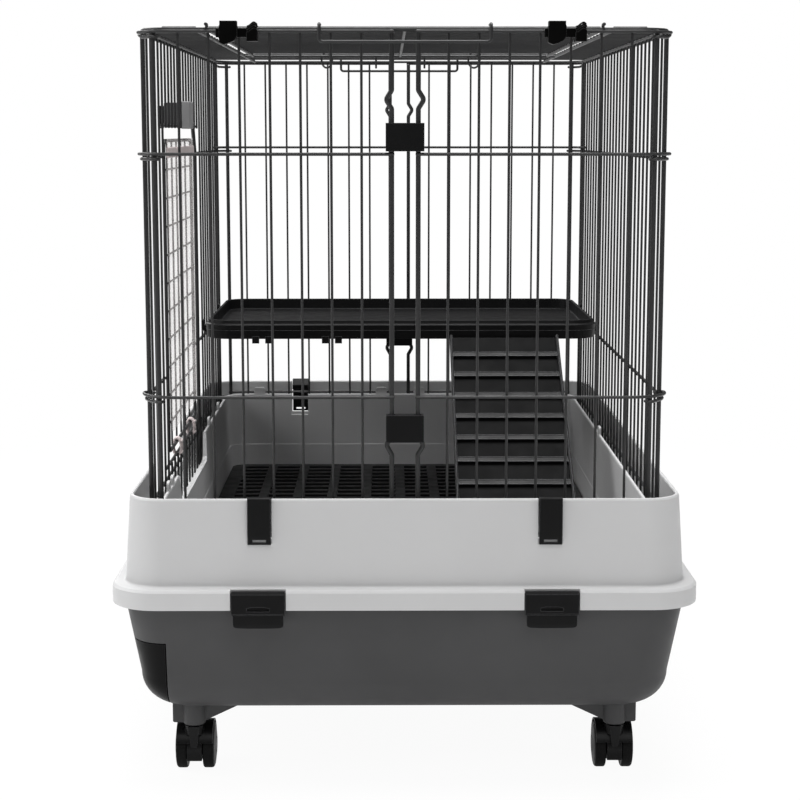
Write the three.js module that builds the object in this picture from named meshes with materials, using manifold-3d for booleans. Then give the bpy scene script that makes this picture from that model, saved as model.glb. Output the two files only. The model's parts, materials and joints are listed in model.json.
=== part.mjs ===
// Wire rabbit cage on a moulded base with a pull-out tray, a raised platform, a ramp and four casters.
// Millimetres, +Z up. The origin is on the floor, under the middle of the cage.
// X runs across the cage and Y along it. The ramp side of the platform faces -Y, which is called the front.
// The drop-down side door is on the -X side, which is called the left.

import * as THREE from 'three';
import { mergeVertices } from 'three/addons/utils/BufferGeometryUtils.js';
import Module from 'manifold-3d';

const wasm = await Module();
wasm.setup();

// ---------------------------------------------------------------- driving dimensions

const PITCH = 27; // spacing of the upright wires
const LENGTH_OVER_WIDTH = 141.5; // how much longer than wide every outline of the base is, on each side
const INNER_CORNER_X = 205; // X about which the corner arcs of the ring's inner walls turn
const CORNER_STEPS = 4; // flats in each rounded corner

const THIN_WIRE = 2.4; // diameters
const RAIL_WIRE = 3;
const POST_WIRE = 4.5;
const MESH_WIRE = 2;

const SIDE_X = 235.3; // plane of the side panels' uprights
const END_Y = 376; // plane of the end panels' uprights
const POST_Y = 347; // corner posts of the side panels
const FOOT_Z = 216; // where the uprights stand, in the channel of the ring
const WIRE_TOP_Z = 687.9;
const RAIL_Z = [259, 362.5, 581, 686]; // foot rail, low rail, high rail and top rail of the end panels
const SIDE_RAIL_DROP = 4.5; // side rails run this much lower, so that the two sets pass at the corners
const RAIL_OUT = 2.7; // rails are welded this far outside the uprights' plane

const CENTRE_BAR_X = 11.85;
const FIRST_THIN_X = 38.6;
const THIN_COUNT = 7;
const END_POST = { x: 223.3, y: 371.2 };
const SIDE_GAPS = 26; // spaces between the uprights of a side panel

const TOP_Z = 690.3; // outline and long wires of the roof
const TOP_CROSS_Z = TOP_Z + RAIL_OUT; // cross wires of the roof lie on top of them
const TOP_GAPS = 28; // spaces between the roof's cross wires
const DOOR_CROSS_WIRES = 20;
const TOP_DOOR = { x: 175.3, front: -368.5, rear: 194 };
const OPENING = { x: 186.5, rear: 200.5 };

const SIDE_DOOR = { near: -186, far: 62, low: 278, high: 592, rows: 10, rowPitch: 28.5, columns: 5 };
const SILL_RAIL_Z = 266;
const HEADER_RAIL_Z = 600;

const CASTER = { x: 198.5, y: 352, trail: 14, wheelRadius: 22 };
const LATCH_X = 133; // rim latches
const CLIP_X = 132; // clips that hold the cage down on the ring

const colours = {
  wire: { color: 0x2c2d2f, roughness: 0.45, metalness: 0.5 },
  ring: { color: 0xd6d7d9, roughness: 0.45, metalness: 0 },
  tub: { color: 0x46474a, roughness: 0.5, metalness: 0 },
  black: { color: 0x17181a, roughness: 0.5, metalness: 0 },
  grey: { color: 0x737477, roughness: 0.5, metalness: 0 },
  steel: { color: 0xa9abad, roughness: 0.3, metalness: 0.9 },
  pale: { color: 0xe3dad4, roughness: 0.3, metalness: 0 },
};

// ---------------------------------------------------------------- skins and solids

const vec = (x, y, z) => new THREE.Vector3(x, y, z);

// A closed skin over a stack of outlines with the same number of points. The outlines turn anticlockwise
// about the direction of travel. The ends are capped, or joined to each other when loop is true.
function skin(outlines, loop = false) {
  const size = outlines[0].length;
  const index = [];
  const last = loop ? outlines.length : outlines.length - 1;
  for (let i = 0; i < last; i++) {
    const low = i * size;
    const high = ((i + 1) % outlines.length) * size;
    for (let j = 0; j < size; j++) {
      const k = (j + 1) % size;
      index.push(low + j, low + k, high + k, low + j, high + k, high + j);
    }
  }
  if (!loop) {
    const end = (outlines.length - 1) * size;
    for (let j = 1; j < size - 1; j++) {
      index.push(0, j + 1, j);
      index.push(end, end + j, end + j + 1);
    }
  }
  const geometry = new THREE.BufferGeometry().setFromPoints(outlines.flat());
  geometry.setIndex(index);
  return geometry;
}

// Outline of a rounded rectangle at height z.
function roundedRectangle(halfX, halfY, radius, z, centreX = 0, centreY = 0) {
  const points = [];
  for (let quarter = 0; quarter < 4; quarter++) {
    const signX = quarter === 0 || quarter === 3 ? 1 : -1;
    const signY = quarter < 2 ? 1 : -1;
    for (let step = 0; step <= CORNER_STEPS; step++) {
      const angle = ((quarter + step / CORNER_STEPS) * Math.PI) / 2;
      points.push(vec(
        centreX + signX * (halfX - radius) + radius * Math.cos(angle),
        centreY + signY * (halfY - radius) + radius * Math.sin(angle),
        z,
      ));
    }
  }
  return points;
}

// Outlines of the base for a profile of [half width, height] points.
function baseOutlines(profile, cornerRadius) {
  return profile.map(([half, z]) => roundedRectangle(half, half + LENGTH_OVER_WIDTH, cornerRadius(half), z));
}

// A square-section wire along a flat path. The section has the area of a round wire of this diameter, and
// one of its ridges points along the direction given by across, which is normal to the path's plane.
function bentWire(points, diameter, across, loop = false) {
  const reach = (diameter / 2) * Math.sqrt(Math.PI / 2);
  const heading = (from, to) => to.clone().sub(from).normalize();
  const outlines = points.map((point, i) => {
    const before = i > 0 ? points[i - 1] : loop ? points[points.length - 1] : null;
    const after = i < points.length - 1 ? points[i + 1] : loop ? points[0] : null;
    const first = before ? heading(before, point) : heading(point, after);
    const second = after ? heading(point, after) : first;
    const middle = first.clone().add(second).normalize();
    const stretch = 1 / middle.dot(second);
    const ridge = across.clone().multiplyScalar(reach);
    const side = middle.clone().cross(across).multiplyScalar(reach * stretch);
    return [ridge, side, ridge.clone().negate(), side.clone().negate()].map((v) => v.add(point));
  });
  return skin(outlines, loop);
}

function straightWire(from, to, diameter) {
  const upright = Math.abs(to.z - from.z) > Math.abs(to.x - from.x) + Math.abs(to.y - from.y);
  return bentWire([from, to], diameter, upright ? vec(1, 0, 0) : vec(0, 0, 1));
}

const acrossWire = (x0, x1, y, z, diameter) => straightWire(vec(x0, y, z), vec(x1, y, z), diameter);
const alongWire = (y0, y1, x, z, diameter) => straightWire(vec(x, y0, z), vec(x, y1, z), diameter);
const uprightWire = (z0, z1, x, y, diameter) => straightWire(vec(x, y, z0), vec(x, y, z1), diameter);

function box([x0, x1], [y0, y1], [z0, z1]) {
  const geometry = new THREE.BoxGeometry(x1 - x0, y1 - y0, z1 - z0);
  return geometry.translate((x0 + x1) / 2, (y0 + y1) / 2, (z0 + z1) / 2);
}

// A prism along X between x0 and x1 over an outline of [y, z] points.
function prismAlongX(points, x0, x1) {
  const shape = new THREE.Shape(points.map(([y, z]) => new THREE.Vector2(y, z)));
  const geometry = new THREE.ExtrudeGeometry(shape, { depth: x1 - x0, bevelEnabled: false });
  geometry.applyMatrix4(new THREE.Matrix4().makeBasis(vec(0, 1, 0), vec(0, 0, 1), vec(1, 0, 0)));
  return geometry.translate(x0, 0, 0);
}

// A prism along Y between y0 and y1 over an outline of [x, z] points.
function prismAlongY(points, y0, y1) {
  const shape = new THREE.Shape(points.map(([x, z]) => new THREE.Vector2(x, z)));
  const geometry = new THREE.ExtrudeGeometry(shape, { depth: y1 - y0, bevelEnabled: false });
  return geometry.rotateX(Math.PI / 2).translate(0, y1, 0);
}

function uprightCylinder(radius, z0, z1, x, y, sides, topRadius = radius) {
  const geometry = new THREE.CylinderGeometry(topRadius, radius, z1 - z0, sides);
  return geometry.rotateX(Math.PI / 2).translate(x, y, (z0 + z1) / 2);
}

function solid(geometry) {
  const bare = geometry.clone();
  bare.deleteAttribute('normal');
  bare.deleteAttribute('uv');
  const merged = mergeVertices(bare, 1e-4);
  return new wasm.Manifold(new wasm.Mesh({
    numProp: 3,
    vertProperties: new Float32Array(merged.attributes.position.array),
    triVerts: new Uint32Array(merged.index.array),
  }));
}

const join = (geometries) => geometries.map(solid).reduce((all, one) => all.add(one));
const cut = (body, geometries) => geometries.map(solid).reduce((rest, one) => rest.subtract(one), body);

function geometryOf(manifold) {
  const { vertProperties, triVerts } = manifold.getMesh();
  const geometry = new THREE.BufferGeometry();
  geometry.setAttribute('position', new THREE.BufferAttribute(new Float32Array(vertProperties), 3));
  geometry.setIndex(new THREE.BufferAttribute(new Uint32Array(triVerts), 1));
  return geometry;
}

const cage = new THREE.Group();

// Adds one named piece. A mirrored copy has -1 in its scale.
function piece(name, shape, look, scale = [1, 1, 1], position = [0, 0, 0]) {
  const geometry = shape.isBufferGeometry ? shape : geometryOf(shape);
  const mesh = new THREE.Mesh(geometry, new THREE.MeshStandardMaterial(colours[look]));
  mesh.name = name;
  mesh.scale.set(...scale);
  mesh.position.set(...position);
  cage.add(mesh);
  return mesh;
}

// ---------------------------------------------------------------- base: tub, tray, ring and floor

const BOTTOM_Z = 66;
const TUB_BOTTOM_HALF = 209.5;
const TUB_RIM_Z = 185;
const TRAY_SEAM_Z = 137;
const TRAY_SEAM_X = -219;
const TRAY_GAP = 0.35;

// The tub's corners are tighter at its bottom than at its rim.
const tubCorner = (half) => 20 + (half - TUB_BOTTOM_HALF) * 0.32;

// Quarter of a circle between the flat bottom and the wall of the tub.
function bottomCurve(half, bottomZ, radius, steps) {
  return Array.from({ length: steps + 1 }, (_, i) => {
    const angle = (i / steps) * (Math.PI / 2);
    return [half + radius * Math.sin(angle), bottomZ + radius * (1 - Math.cos(angle))];
  });
}

const tubOutside = [...bottomCurve(TUB_BOTTOM_HALF, BOTTOM_Z, 37, 4), [258.5, 172], [259.1, TUB_RIM_Z]];
const tubInside = [...bottomCurve(TUB_BOTTOM_HALF, BOTTOM_Z + 3.2, 33.8, 4), [255.1, 172], [255.9, TUB_RIM_Z]];
const tubSection = [...tubOutside, ...[...tubInside].reverse()];
const tubShell = solid(skin(baseOutlines(tubSection, tubCorner)));
const tubBlock = solid(skin(baseOutlines(tubOutside, tubCorner)));

// Boss with ribs over one caster, and the blind hole that its stem turns in.
function casterBoss(signX, signY) {
  const x = signX * CASTER.x;
  const y = signY * CASTER.y;
  const rib = [[-20.3, 67.5], [-20.3, 49], [-8, 48.5], [8, 48.5], [46, 67.5]];
  const turned = signX < 0 ? rib : rib.map(([u, z]) => [-u, z]).reverse();
  return [
    uprightCylinder(10.5, 47.8, 69, x, y, 12),
    prismAlongY(turned.map(([u, z]) => [x + u, z]), y - 1.5, y + 1.5),
  ];
}

const corners = [[-1, -1, 'front_left'], [1, -1, 'front_right'], [-1, 1, 'back_left'], [1, 1, 'back_right']];
const catches = corners.map(([signX, signY]) => {
  const y = [signY * 404.5, signY * 395.9].sort((a, b) => a - b);
  return box([signX * LATCH_X - 20, signX * LATCH_X + 20], y, [163.5, 169]);
});
const trayMouth = box([-300, TRAY_SEAM_X], [-500, 500], [50, TRAY_SEAM_Z]);
const stemHoles = corners.map(([signX, signY]) => {
  return uprightCylinder(6.2, 40, 62, signX * CASTER.x, signY * CASTER.y, 12);
});
const tubWithMouth = cut(tubShell, [trayMouth]);
const tubExtras = [...catches, ...corners.flatMap(([signX, signY]) => casterBoss(signX, signY))];
piece('lower_tub', cut(tubWithMouth.add(join(tubExtras)), stemHoles), 'tub');

// The tray: an open pan with a front that carries on the tub's skin across the whole left side.
const TRAY_CLEARANCE = 0.6;
const PAN = { centreX: -17.75, halfX: 224.75, halfY: 350, corner: 20 };
function slideTray() {
  // The pan narrows towards its bottom, so that it clears the curved corners of the mouth as it slides out.
  const panSection = [[-10, 75.8], [0, 84.6], [0, 112], [-3, 112], [-3, 85.8], [-11.5, 78.8]];
  const pan = solid(skin(panSection.map(([grow, z]) => {
    return roundedRectangle(PAN.halfX + grow, PAN.halfY + grow, PAN.corner + grow, z, PAN.centreX);
  })));
  const frontBox = solid(box([-300, TRAY_SEAM_X - TRAY_GAP], [-500, 500], [50, TRAY_SEAM_Z - TRAY_GAP]));
  const restBox = solid(box([TRAY_SEAM_X - 1, 300], [-500, 500], [50, TRAY_SEAM_Z]));
  const hollow = tubInside.map(([half, z]) => [half - TRAY_CLEARANCE, z + TRAY_CLEARANCE]);
  const room = solid(skin(baseOutlines(hollow, tubCorner)));
  const front = tubShell.add(pan.intersect(tubBlock)).intersect(frontBox);
  return front.add(pan.intersect(room).intersect(restBox));
}
piece('slide_tray', slideTray(), 'black');

// The inner walls' corner arcs share one centre; the outer wall and the flange have tighter ones.
const FLANGE = { half: 270, corner: 44 };
function ringCorner(half) {
  if (half < 232) return Math.max(half - INNER_CORNER_X, 6);
  return FLANGE.corner - (FLANGE.half - half) * 0.65;
}

// Section of the ring as [half width, height]: up the outer wall, down the channel that the wires stand in,
// over the inner wall, down its step to the lip under the floor, and back below the flange.
const ringSection = [
  [FLANGE.half, 172.4], [FLANGE.half, 188.5], [268, 191], [258.3, 191], [253.2, 270], [252.2, 272],
  [250.2, 272], [249.5, 270.5], [252.5, 214.5], [230, 214.5], [229.5, 256.5], [228.5, 257.5],
  [226.6, 257.5], [226, 256], [223.5, 192], [222.3, 190.5], [221.3, 160.4], [210, 160.4],
  [210, 157.6], [224.3, 157.6], [224.7, 187.6], [226.6, 189.3], [227, 211.5], [252.9, 211.5],
  [255.1, 188], [267.1, 188], [267.1, 172.4],
];
const ringBody = solid(skin(baseOutlines(ringSection, ringCorner), true));

// The low sill under the side door, the notches that the rim latches sit in, and the windows of the cage clips.
const sill = prismAlongX([[-186, 225], [57, 225], [74, 300], [-226, 300]], -300, -216);
const latchNotches = corners.map(([signX, signY]) => {
  const y = [signY * 405.8, signY * 428].sort((a, b) => a - b);
  return box([signX * LATCH_X - 25.2, signX * LATCH_X + 25.2], y, [160, 205]);
});
const clipWindows = corners.map(([signX, signY]) => {
  const y = [signY * 362, signY * 408].sort((a, b) => a - b);
  return box([signX * CLIP_X - 11.6, signX * CLIP_X + 11.6], y, [229.6, 280]);
});
piece('base_ring', cut(ringBody, [sill, ...latchNotches, ...clipWindows]), 'ring');

// Slotted floor that lets droppings fall through to the tray.
function floorGrate() {
  const half = { x: 220, y: 361.5 };
  const height = [160.8, 164.4];
  const count = { x: 4, y: 10 };
  const band = { x: (2 * half.x - 30) / count.x, y: (2 * half.y - 40) / count.y };
  const slots = [];
  for (let column = 0; column < count.x; column++) {
    for (let row = 0; row < count.y; row++) {
      const x = -half.x + 15 + band.x * (column + 0.5);
      const y = -half.y + 20 + band.y * (row + 0.5);
      slots.push(box([x - band.x * 0.4, x + band.x * 0.4], [y - 9, y + 9], [150, 170]));
    }
  }
  const plate = skin(height.map((z) => roundedRectangle(half.x, half.y, 15, z)));
  return cut(solid(plate), slots);
}
piece('floor_grate', floorGrate(), 'black');

// ---------------------------------------------------------------- latches and clips on the base

// Rim latch at the middle of the front flange: it hangs from the flange and its tooth grips below the tub's catch.
const rimLatch = cut(
  join([
    box([-24.3, 24.3], [-412.7, -408.3], [155.5, 190.1]),
    box([-18, 18], [-409.5, -401.1], [156.5, 160.9]),
  ]),
  [box([-10, 10], [-413.5, -410.7], [171.5, 175.5])],
);

// Clip at the middle of the front wall: a strap outside the wall with a lip over its top edge.
const cageClip = cut(
  join([
    box([-10.5, 10.5], [-400.8, -397.9], [230.6, 275.3]),
    box([-10.5, 10.5], [-398.5, -386.6], [272.6, 275.3]),
  ]),
  [box([-6, 6], [-402, -399.8], [233, 235.4])],
);

for (const [signX, signY, corner] of corners) {
  piece(`rim_latch_${corner}`, rimLatch, 'black', [1, -signY, 1], [signX * LATCH_X, 0, 0]);
  piece(`cage_clip_${corner}`, cageClip, 'black', [1, -signY, 1], [signX * CLIP_X, 0, 0]);
}

// ---------------------------------------------------------------- casters

const axleY = CASTER.trail;
const axleZ = CASTER.wheelRadius;

// Arc about the wheel axle, as [y, z] points.
function arcPoints(radius, from, to, steps) {
  return Array.from({ length: steps + 1 }, (_, i) => {
    const angle = from + ((to - from) * i) / steps;
    return [axleY + radius * Math.cos(angle), axleZ + radius * Math.sin(angle)];
  });
}

function sector(outerRadius, innerRadius, from, to, steps) {
  return [...arcPoints(outerRadius, from, to, steps), ...arcPoints(innerRadius, from, to, steps).reverse()];
}

function axleCylinder(radius, halfLength, sides) {
  return new THREE.CylinderGeometry(radius, radius, 2 * halfLength, sides)
    .rotateZ(Math.PI / 2)
    .translate(0, axleY, axleZ);
}

const forkNeck = cut(solid(uprightCylinder(9, 26, 46.6, 0, 0, 8, 8.5)), [axleCylinder(24.3, 25, 12)]);
const forkParts = join([
  uprightCylinder(5.2, 44, 61, 0, 0, 8),
  prismAlongX(sector(25, 23.7, 0, Math.PI, 6), -18.6, 18.6),
  prismAlongX(arcPoints(24.4, -0.6, Math.PI + 0.6, 8), -6.6, 6.6),
]);
const casterFork = cut(forkNeck.add(forkParts), [axleCylinder(3.4, 10, 8)]);

// Wheel as a closed profile of [radius, distance along the axle], with a flat of the tread on the floor.
function casterWheel(side) {
  const sides = 12;
  const tread = CASTER.wheelRadius / Math.cos(Math.PI / sides);
  const profile = [[3.3, 7.4], [tread, 7.4], [tread, 16.8], [19.5, 18.4], [3.3, 18.4], [3.3, 7.4]];
  const points = profile.map(([radius, along]) => new THREE.Vector2(radius, along));
  const wheel = new THREE.LatheGeometry(points, sides, Math.PI / sides).rotateZ(-Math.PI / 2);
  return solid(wheel.rotateY(side > 0 ? 0 : Math.PI).translate(0, axleY, axleZ));
}

for (const [signX, signY, corner] of corners) {
  const at = [signX * CASTER.x, signY * CASTER.y, 0];
  piece(`caster_fork_${corner}`, casterFork, 'black', [1, 1, 1], at);
  piece(`caster_axle_${corner}`, axleCylinder(2.8, 18, 8), 'steel', [1, 1, 1], at);
  piece(`caster_wheel_${corner}_inner`, casterWheel(-signX), 'black', [1, 1, 1], at);
  piece(`caster_wheel_${corner}_outer`, casterWheel(signX), 'black', [1, 1, 1], at);
}

// ---------------------------------------------------------------- end panels: two leaves at each end

// Rail of the front right leaf: along the front, round the corner and behind the side panel's corner post.
function leafRail(z) {
  const centre = { x: 205.4, y: -346.8 };
  const reachX = 34.9;
  const reachY = 31.9;
  const points = [vec(9.6, -END_Y - RAIL_OUT, z)];
  const isFoot = z === RAIL_Z[0];
  const turn = isFoot ? Math.PI / 5 : Math.PI / 2;
  for (let i = 0; i <= 3; i++) {
    const angle = (turn * i) / 3;
    points.push(vec(centre.x + reachX * Math.sin(angle), centre.y - reachY * Math.cos(angle), z));
  }
  if (!isFoot) points.push(vec(240.3, -344.3, z), vec(238.2, -341.7, z), vec(232.6, -341.7, z));
  return bentWire(points, RAIL_WIRE, vec(0, 0, 1));
}

// Thick bar beside the split, kinked outwards below the lower link plate and above the upper one.
function centreBar() {
  const kink = (z, half) => [[0, z - half], [4.3, z], [0, z + half]];
  const path = [[0, FOOT_Z], ...kink(313.5, 5.5), ...kink(629, 7), [0, WIRE_TOP_Z]];
  return bentWire(path.map(([out, z]) => vec(CENTRE_BAR_X + out, -END_Y, z)), POST_WIRE, vec(0, 1, 0));
}

function leaf() {
  const thin = Array.from({ length: THIN_COUNT }, (_, i) => {
    return uprightWire(FOOT_Z, WIRE_TOP_Z, FIRST_THIN_X + PITCH * i, -END_Y, THIN_WIRE);
  });
  const endPost = uprightWire(FOOT_Z, WIRE_TOP_Z, END_POST.x, -END_POST.y, POST_WIRE);
  return join([centreBar(), ...thin, endPost, ...RAIL_Z.map(leafRail)]);
}

const leafShape = leaf();
for (const [signX, signY, corner] of corners) {
  piece(`wire_leaf_${corner}`, leafShape, 'wire', [signX, -signY, 1]);
}

// Link plates hold the two leaves of an end together; the thick bars pass through them.
function linkPlate(z) {
  const body = solid(box([-17.2, 17.2], [-382.2, -370.6], [z, z + 25]));
  const bores = [-1, 1].map((side) => uprightWire(z - 5, z + 30, side * CENTRE_BAR_X, -END_Y, POST_WIRE + 0.8));
  return cut(body, bores);
}

const linkHeights = { lower: 321.4, upper: 583.5 };
for (const [level, z] of Object.entries(linkHeights)) {
  piece(`link_plate_front_${level}`, linkPlate(z), 'black');
  piece(`link_plate_back_${level}`, linkPlate(z), 'black', [1, -1, 1]);
}

// ---------------------------------------------------------------- side panels

const sideY = (i) => -POST_Y + (2 * POST_Y * i) / SIDE_GAPS;
const sideRailX = SIDE_X + RAIL_OUT;
const sideRailEnd = POST_Y + 4;

function sideUpright(i, z0, z1) {
  const diameter = i === 0 || i === SIDE_GAPS ? POST_WIRE : THIN_WIRE;
  return uprightWire(z0, z1, SIDE_X, sideY(i), diameter);
}

const sideRail = (y0, y1, z) => alongWire(y0, y1, sideRailX, z, RAIL_WIRE);
const wholeSideRail = (z) => sideRail(-sideRailEnd, sideRailEnd, z - SIDE_RAIL_DROP);

function plainSide() {
  const uprights = Array.from({ length: SIDE_GAPS + 1 }, (_, i) => sideUpright(i, FOOT_Z, WIRE_TOP_Z));
  return join([...uprights, ...RAIL_Z.map(wholeSideRail)]);
}
piece('wire_side_right', plainSide(), 'wire');

// Thick upright at the far edge of the opening. Its top bends towards the door and meets the header rail.
const EDGE_POST = 16;
function edgePost() {
  const y = sideY(EDGE_POST);
  const path = [[y, FOOT_Z], [y, 578], [y - 20, HEADER_RAIL_Z + 4]];
  return bentWire(path.map(([along, z]) => vec(SIDE_X, along, z)), POST_WIRE, vec(1, 0, 0));
}

// The door side is built on +X and mirrored. Its uprights stop below and above the opening.
function doorSide() {
  const stopsAt = (i) => sideY(i) > SIDE_DOOR.near - 12 && i <= EDGE_POST + 1;
  const uprights = [edgePost()];
  for (let i = 0; i <= SIDE_GAPS; i++) {
    if (i === EDGE_POST) {
      uprights.push(sideUpright(i, HEADER_RAIL_Z - 2.5, WIRE_TOP_Z));
    } else if (stopsAt(i)) {
      uprights.push(sideUpright(i, FOOT_Z, SILL_RAIL_Z + 2.5), sideUpright(i, HEADER_RAIL_Z - 2.5, WIRE_TOP_Z));
    } else {
      uprights.push(sideUpright(i, FOOT_Z, WIRE_TOP_Z));
    }
  }
  const nearEdge = SIDE_DOOR.near - 25;
  const farEdge = SIDE_DOOR.far + 15.5;
  const [foot, low, high, top] = RAIL_Z;
  const rails = [wholeSideRail(foot), wholeSideRail(top)];
  for (const z of [low, high]) {
    rails.push(sideRail(-sideRailEnd, nearEdge, z - SIDE_RAIL_DROP));
    rails.push(sideRail(farEdge, sideRailEnd, z - SIDE_RAIL_DROP));
  }
  const frameEnd = sideY(EDGE_POST + 1) + 3;
  rails.push(sideRail(nearEdge - 5, frameEnd, SILL_RAIL_Z), sideRail(nearEdge - 5, frameEnd, HEADER_RAIL_Z));
  return join([...uprights, ...rails]);
}
piece('wire_side_left', doorSide(), 'wire', [-1, 1, 1]);

// ---------------------------------------------------------------- drop-down side door

const doorX = -sideRailX;

function sideDoor() {
  const { near, far, low, high, rows, rowPitch, columns } = SIDE_DOOR;
  const wires = [
    uprightWire(low - 2, high + 2, doorX, near, POST_WIRE),
    uprightWire(low - 2, high + 2, doorX, far, POST_WIRE),
    alongWire(near - 2, far + 2, doorX, low, RAIL_WIRE),
    alongWire(near - 2, far + 2, doorX, high, RAIL_WIRE),
  ];
  for (let i = 1; i <= rows; i++) wires.push(alongWire(near, far, doorX, low + rowPitch * i, MESH_WIRE));
  for (let i = 1; i <= columns; i++) {
    const y = near + ((far - near) * i) / (columns + 1);
    wires.push(uprightWire(low, high, doorX - 1.9, y, MESH_WIRE));
  }
  return join(wires);
}
piece('side_door', sideDoor(), 'wire');

// Clear sheet behind the door's mesh, which stops feet from slipping through when the door is a ramp.
piece('side_door_sheet', box([-235.8, -234.4], [-180.5, 56.5], [298, 584]), 'pale');

// Clip that holds the door's lower wire to the sill rail and lets it turn.
function doorHingeClip(y) {
  const body = solid(box([-243.2, -231.6], [y - 6, y + 6], [262.2, 283.6]));
  const tightBore = alongWire(y - 20, y + 20, doorX, SILL_RAIL_Z, RAIL_WIRE + 0.8);
  const turningBore = alongWire(y - 20, y + 20, doorX, SIDE_DOOR.low, RAIL_WIRE + 1.9);
  return cut(body, [tightBore, turningBore]);
}
piece('side_door_hinge_front', doorHingeClip(sideY(8) + 13.4), 'pale');
piece('side_door_hinge_rear', doorHingeClip(sideY(13) + 8.6), 'pale');

// Latch over the door: a block clamped on one upright, and a lever on its outside.
const latchY = sideY(12);
const latchBlock = solid(box([-254.6, -226.5], [latchY - 17, latchY + 17], [604, 633]));
const latchGroove = uprightWire(590, 640, -SIDE_X, latchY, THIN_WIRE + 1);
piece('side_latch_block', cut(latchBlock, [latchGroove]), 'grey');
const leverSection = [[-262, 606], [-258.4, 604], [-255.2, 612], [-255.2, 628.5], [-262, 628.5]];
piece('side_latch_lever', prismAlongY(leverSection, latchY - 12, latchY + 12), 'black');

// ---------------------------------------------------------------- roof and its door

const topY = (i) => -END_Y + (2 * END_Y * i) / TOP_GAPS;

function roofOutline() {
  const reachX = SIDE_X - 205.4;
  const reachY = END_Y - 346.8;
  const points = [];
  for (let quarter = 0; quarter < 4; quarter++) {
    const signX = quarter === 0 || quarter === 3 ? 1 : -1;
    const signY = quarter < 2 ? 1 : -1;
    for (let step = 0; step <= 3; step++) {
      const angle = ((quarter + step / 3) * Math.PI) / 2;
      const x = signX * 205.4 + reachX * Math.cos(angle);
      const y = signY * 346.8 + reachY * Math.sin(angle);
      points.push(vec(x, y, TOP_Z));
    }
  }
  return bentWire(points, RAIL_WIRE, vec(0, 0, 1), true);
}

function roofFrame() {
  const wires = [roofOutline()];
  const outerEnd = SIDE_X + 2.2;
  for (const side of [-1, 1]) {
    wires.push(alongWire(-END_Y, END_Y, side * OPENING.x, TOP_Z, RAIL_WIRE));
    wires.push(uprightWire(676, TOP_Z + 1, side * 29, OPENING.rear, THIN_WIRE));
  }
  wires.push(acrossWire(-OPENING.x, OPENING.x, OPENING.rear, TOP_Z, RAIL_WIRE));
  for (let i = 1; i < TOP_GAPS; i++) {
    if (topY(i) < OPENING.rear) {
      wires.push(acrossWire(OPENING.x - 2.2, outerEnd, topY(i), TOP_CROSS_Z, THIN_WIRE));
      wires.push(acrossWire(-outerEnd, -OPENING.x + 2.2, topY(i), TOP_CROSS_Z, THIN_WIRE));
    } else {
      wires.push(acrossWire(-outerEnd, outerEnd, topY(i), TOP_CROSS_Z, THIN_WIRE));
    }
  }
  return join(wires);
}
piece('wire_roof_frame', roofFrame(), 'wire');

// The roof door turns on its rear wire. Its two side wires end in hooks over the roof's front edge.
function topDoor() {
  const { x, front, rear } = TOP_DOOR;
  const hookZ = TOP_Z + 4.1;
  const wires = [];
  for (const side of [-1, 1]) {
    const path = [[rear + 2, TOP_Z], [front + 0.5, TOP_Z], [front - 3, hookZ], [front - 12, hookZ]];
    wires.push(bentWire(path.map(([y, z]) => vec(side * x, y, z)), RAIL_WIRE, vec(1, 0, 0)));
  }
  wires.push(acrossWire(-x - 2, x + 2, rear, TOP_Z, RAIL_WIRE));
  wires.push(acrossWire(-x, x, front, TOP_Z, RAIL_WIRE));
  wires.push(alongWire(front, rear, 0, TOP_Z, RAIL_WIRE));
  for (let i = 1; i <= DOOR_CROSS_WIRES; i++) {
    wires.push(acrossWire(-x - 2.5, x + 2.5, topY(i), TOP_CROSS_Z, THIN_WIRE));
  }
  return join(wires);
}
piece('top_door', topDoor(), 'wire');

// Loose steel rings that tie the door's rear wire to the roof frame.
for (const [side, name] of [[-1, 'left'], [1, 'right']]) {
  const ring = new THREE.TorusGeometry(9.3, THIN_WIRE / 2, 4, 12).rotateY(Math.PI / 2);
  piece(`top_door_ring_${name}`, solid(ring), 'wire', [1, 1, 1], [side * 88, 197.2, 686]);
}

// Slide latch on the door's front wire, built with its left edge at x = 0.
const latchBody = cut(
  join([
    box([0, 16], [-391, -381.3], [677.4, 693.4]),
    box([2, 14], [-391, -365.6], [692.8, 696.6]),
  ]),
  [box([-1, 17], [-388.6, -383.6], [682.6, 691.4])],
);
const wavyEdge = Array.from({ length: 7 }, (_, i) => [33.8 - (i % 2) * 1.4, 678.9 + i * 2.9]);
const latchSlider = join([
  box([-3, 26], [-388.1, -384.1], [683.1, 690.9]),
  prismAlongY([[24, 678.9], ...wavyEdge, [24, 696.3]], -391.4, -381.5),
]);
for (const [name, x] of [['left', -162.8], ['right', 125.2]]) {
  piece(`top_latch_body_${name}`, latchBody, 'black', [1, 1, 1], [x, 0, 0]);
  piece(`top_latch_slider_${name}`, latchSlider, 'black', [1, 1, 1], [x, 0, 0]);
}

// Wire bail that hangs from the roof and hooks over an end panel's top rail.
function bail() {
  const halfWidth = 75.6;
  const front = -384;
  const topZ = TOP_Z + 4.1;
  const lowZ = 679;
  const wires = [acrossWire(-halfWidth - 1, halfWidth + 1, front, lowZ, RAIL_WIRE)];
  for (const side of [-1, 1]) {
    wires.push(uprightWire(lowZ - 1, topZ + 1, side * halfWidth, front, RAIL_WIRE));
    wires.push(alongWire(front - 1, -367, side * halfWidth, topZ, RAIL_WIRE));
  }
  return join(wires);
}
piece('top_door_bail', bail(), 'wire');
piece('roof_bail_back', bail(), 'wire', [1, -1, 1]);

// ---------------------------------------------------------------- platform and ramp

const PLATFORM = { halfX: 226.5, halfY: 140.5, centreY: 201.5, low: 366, high: 387 };
const platformFront = PLATFORM.centreY - PLATFORM.halfY;

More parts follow.
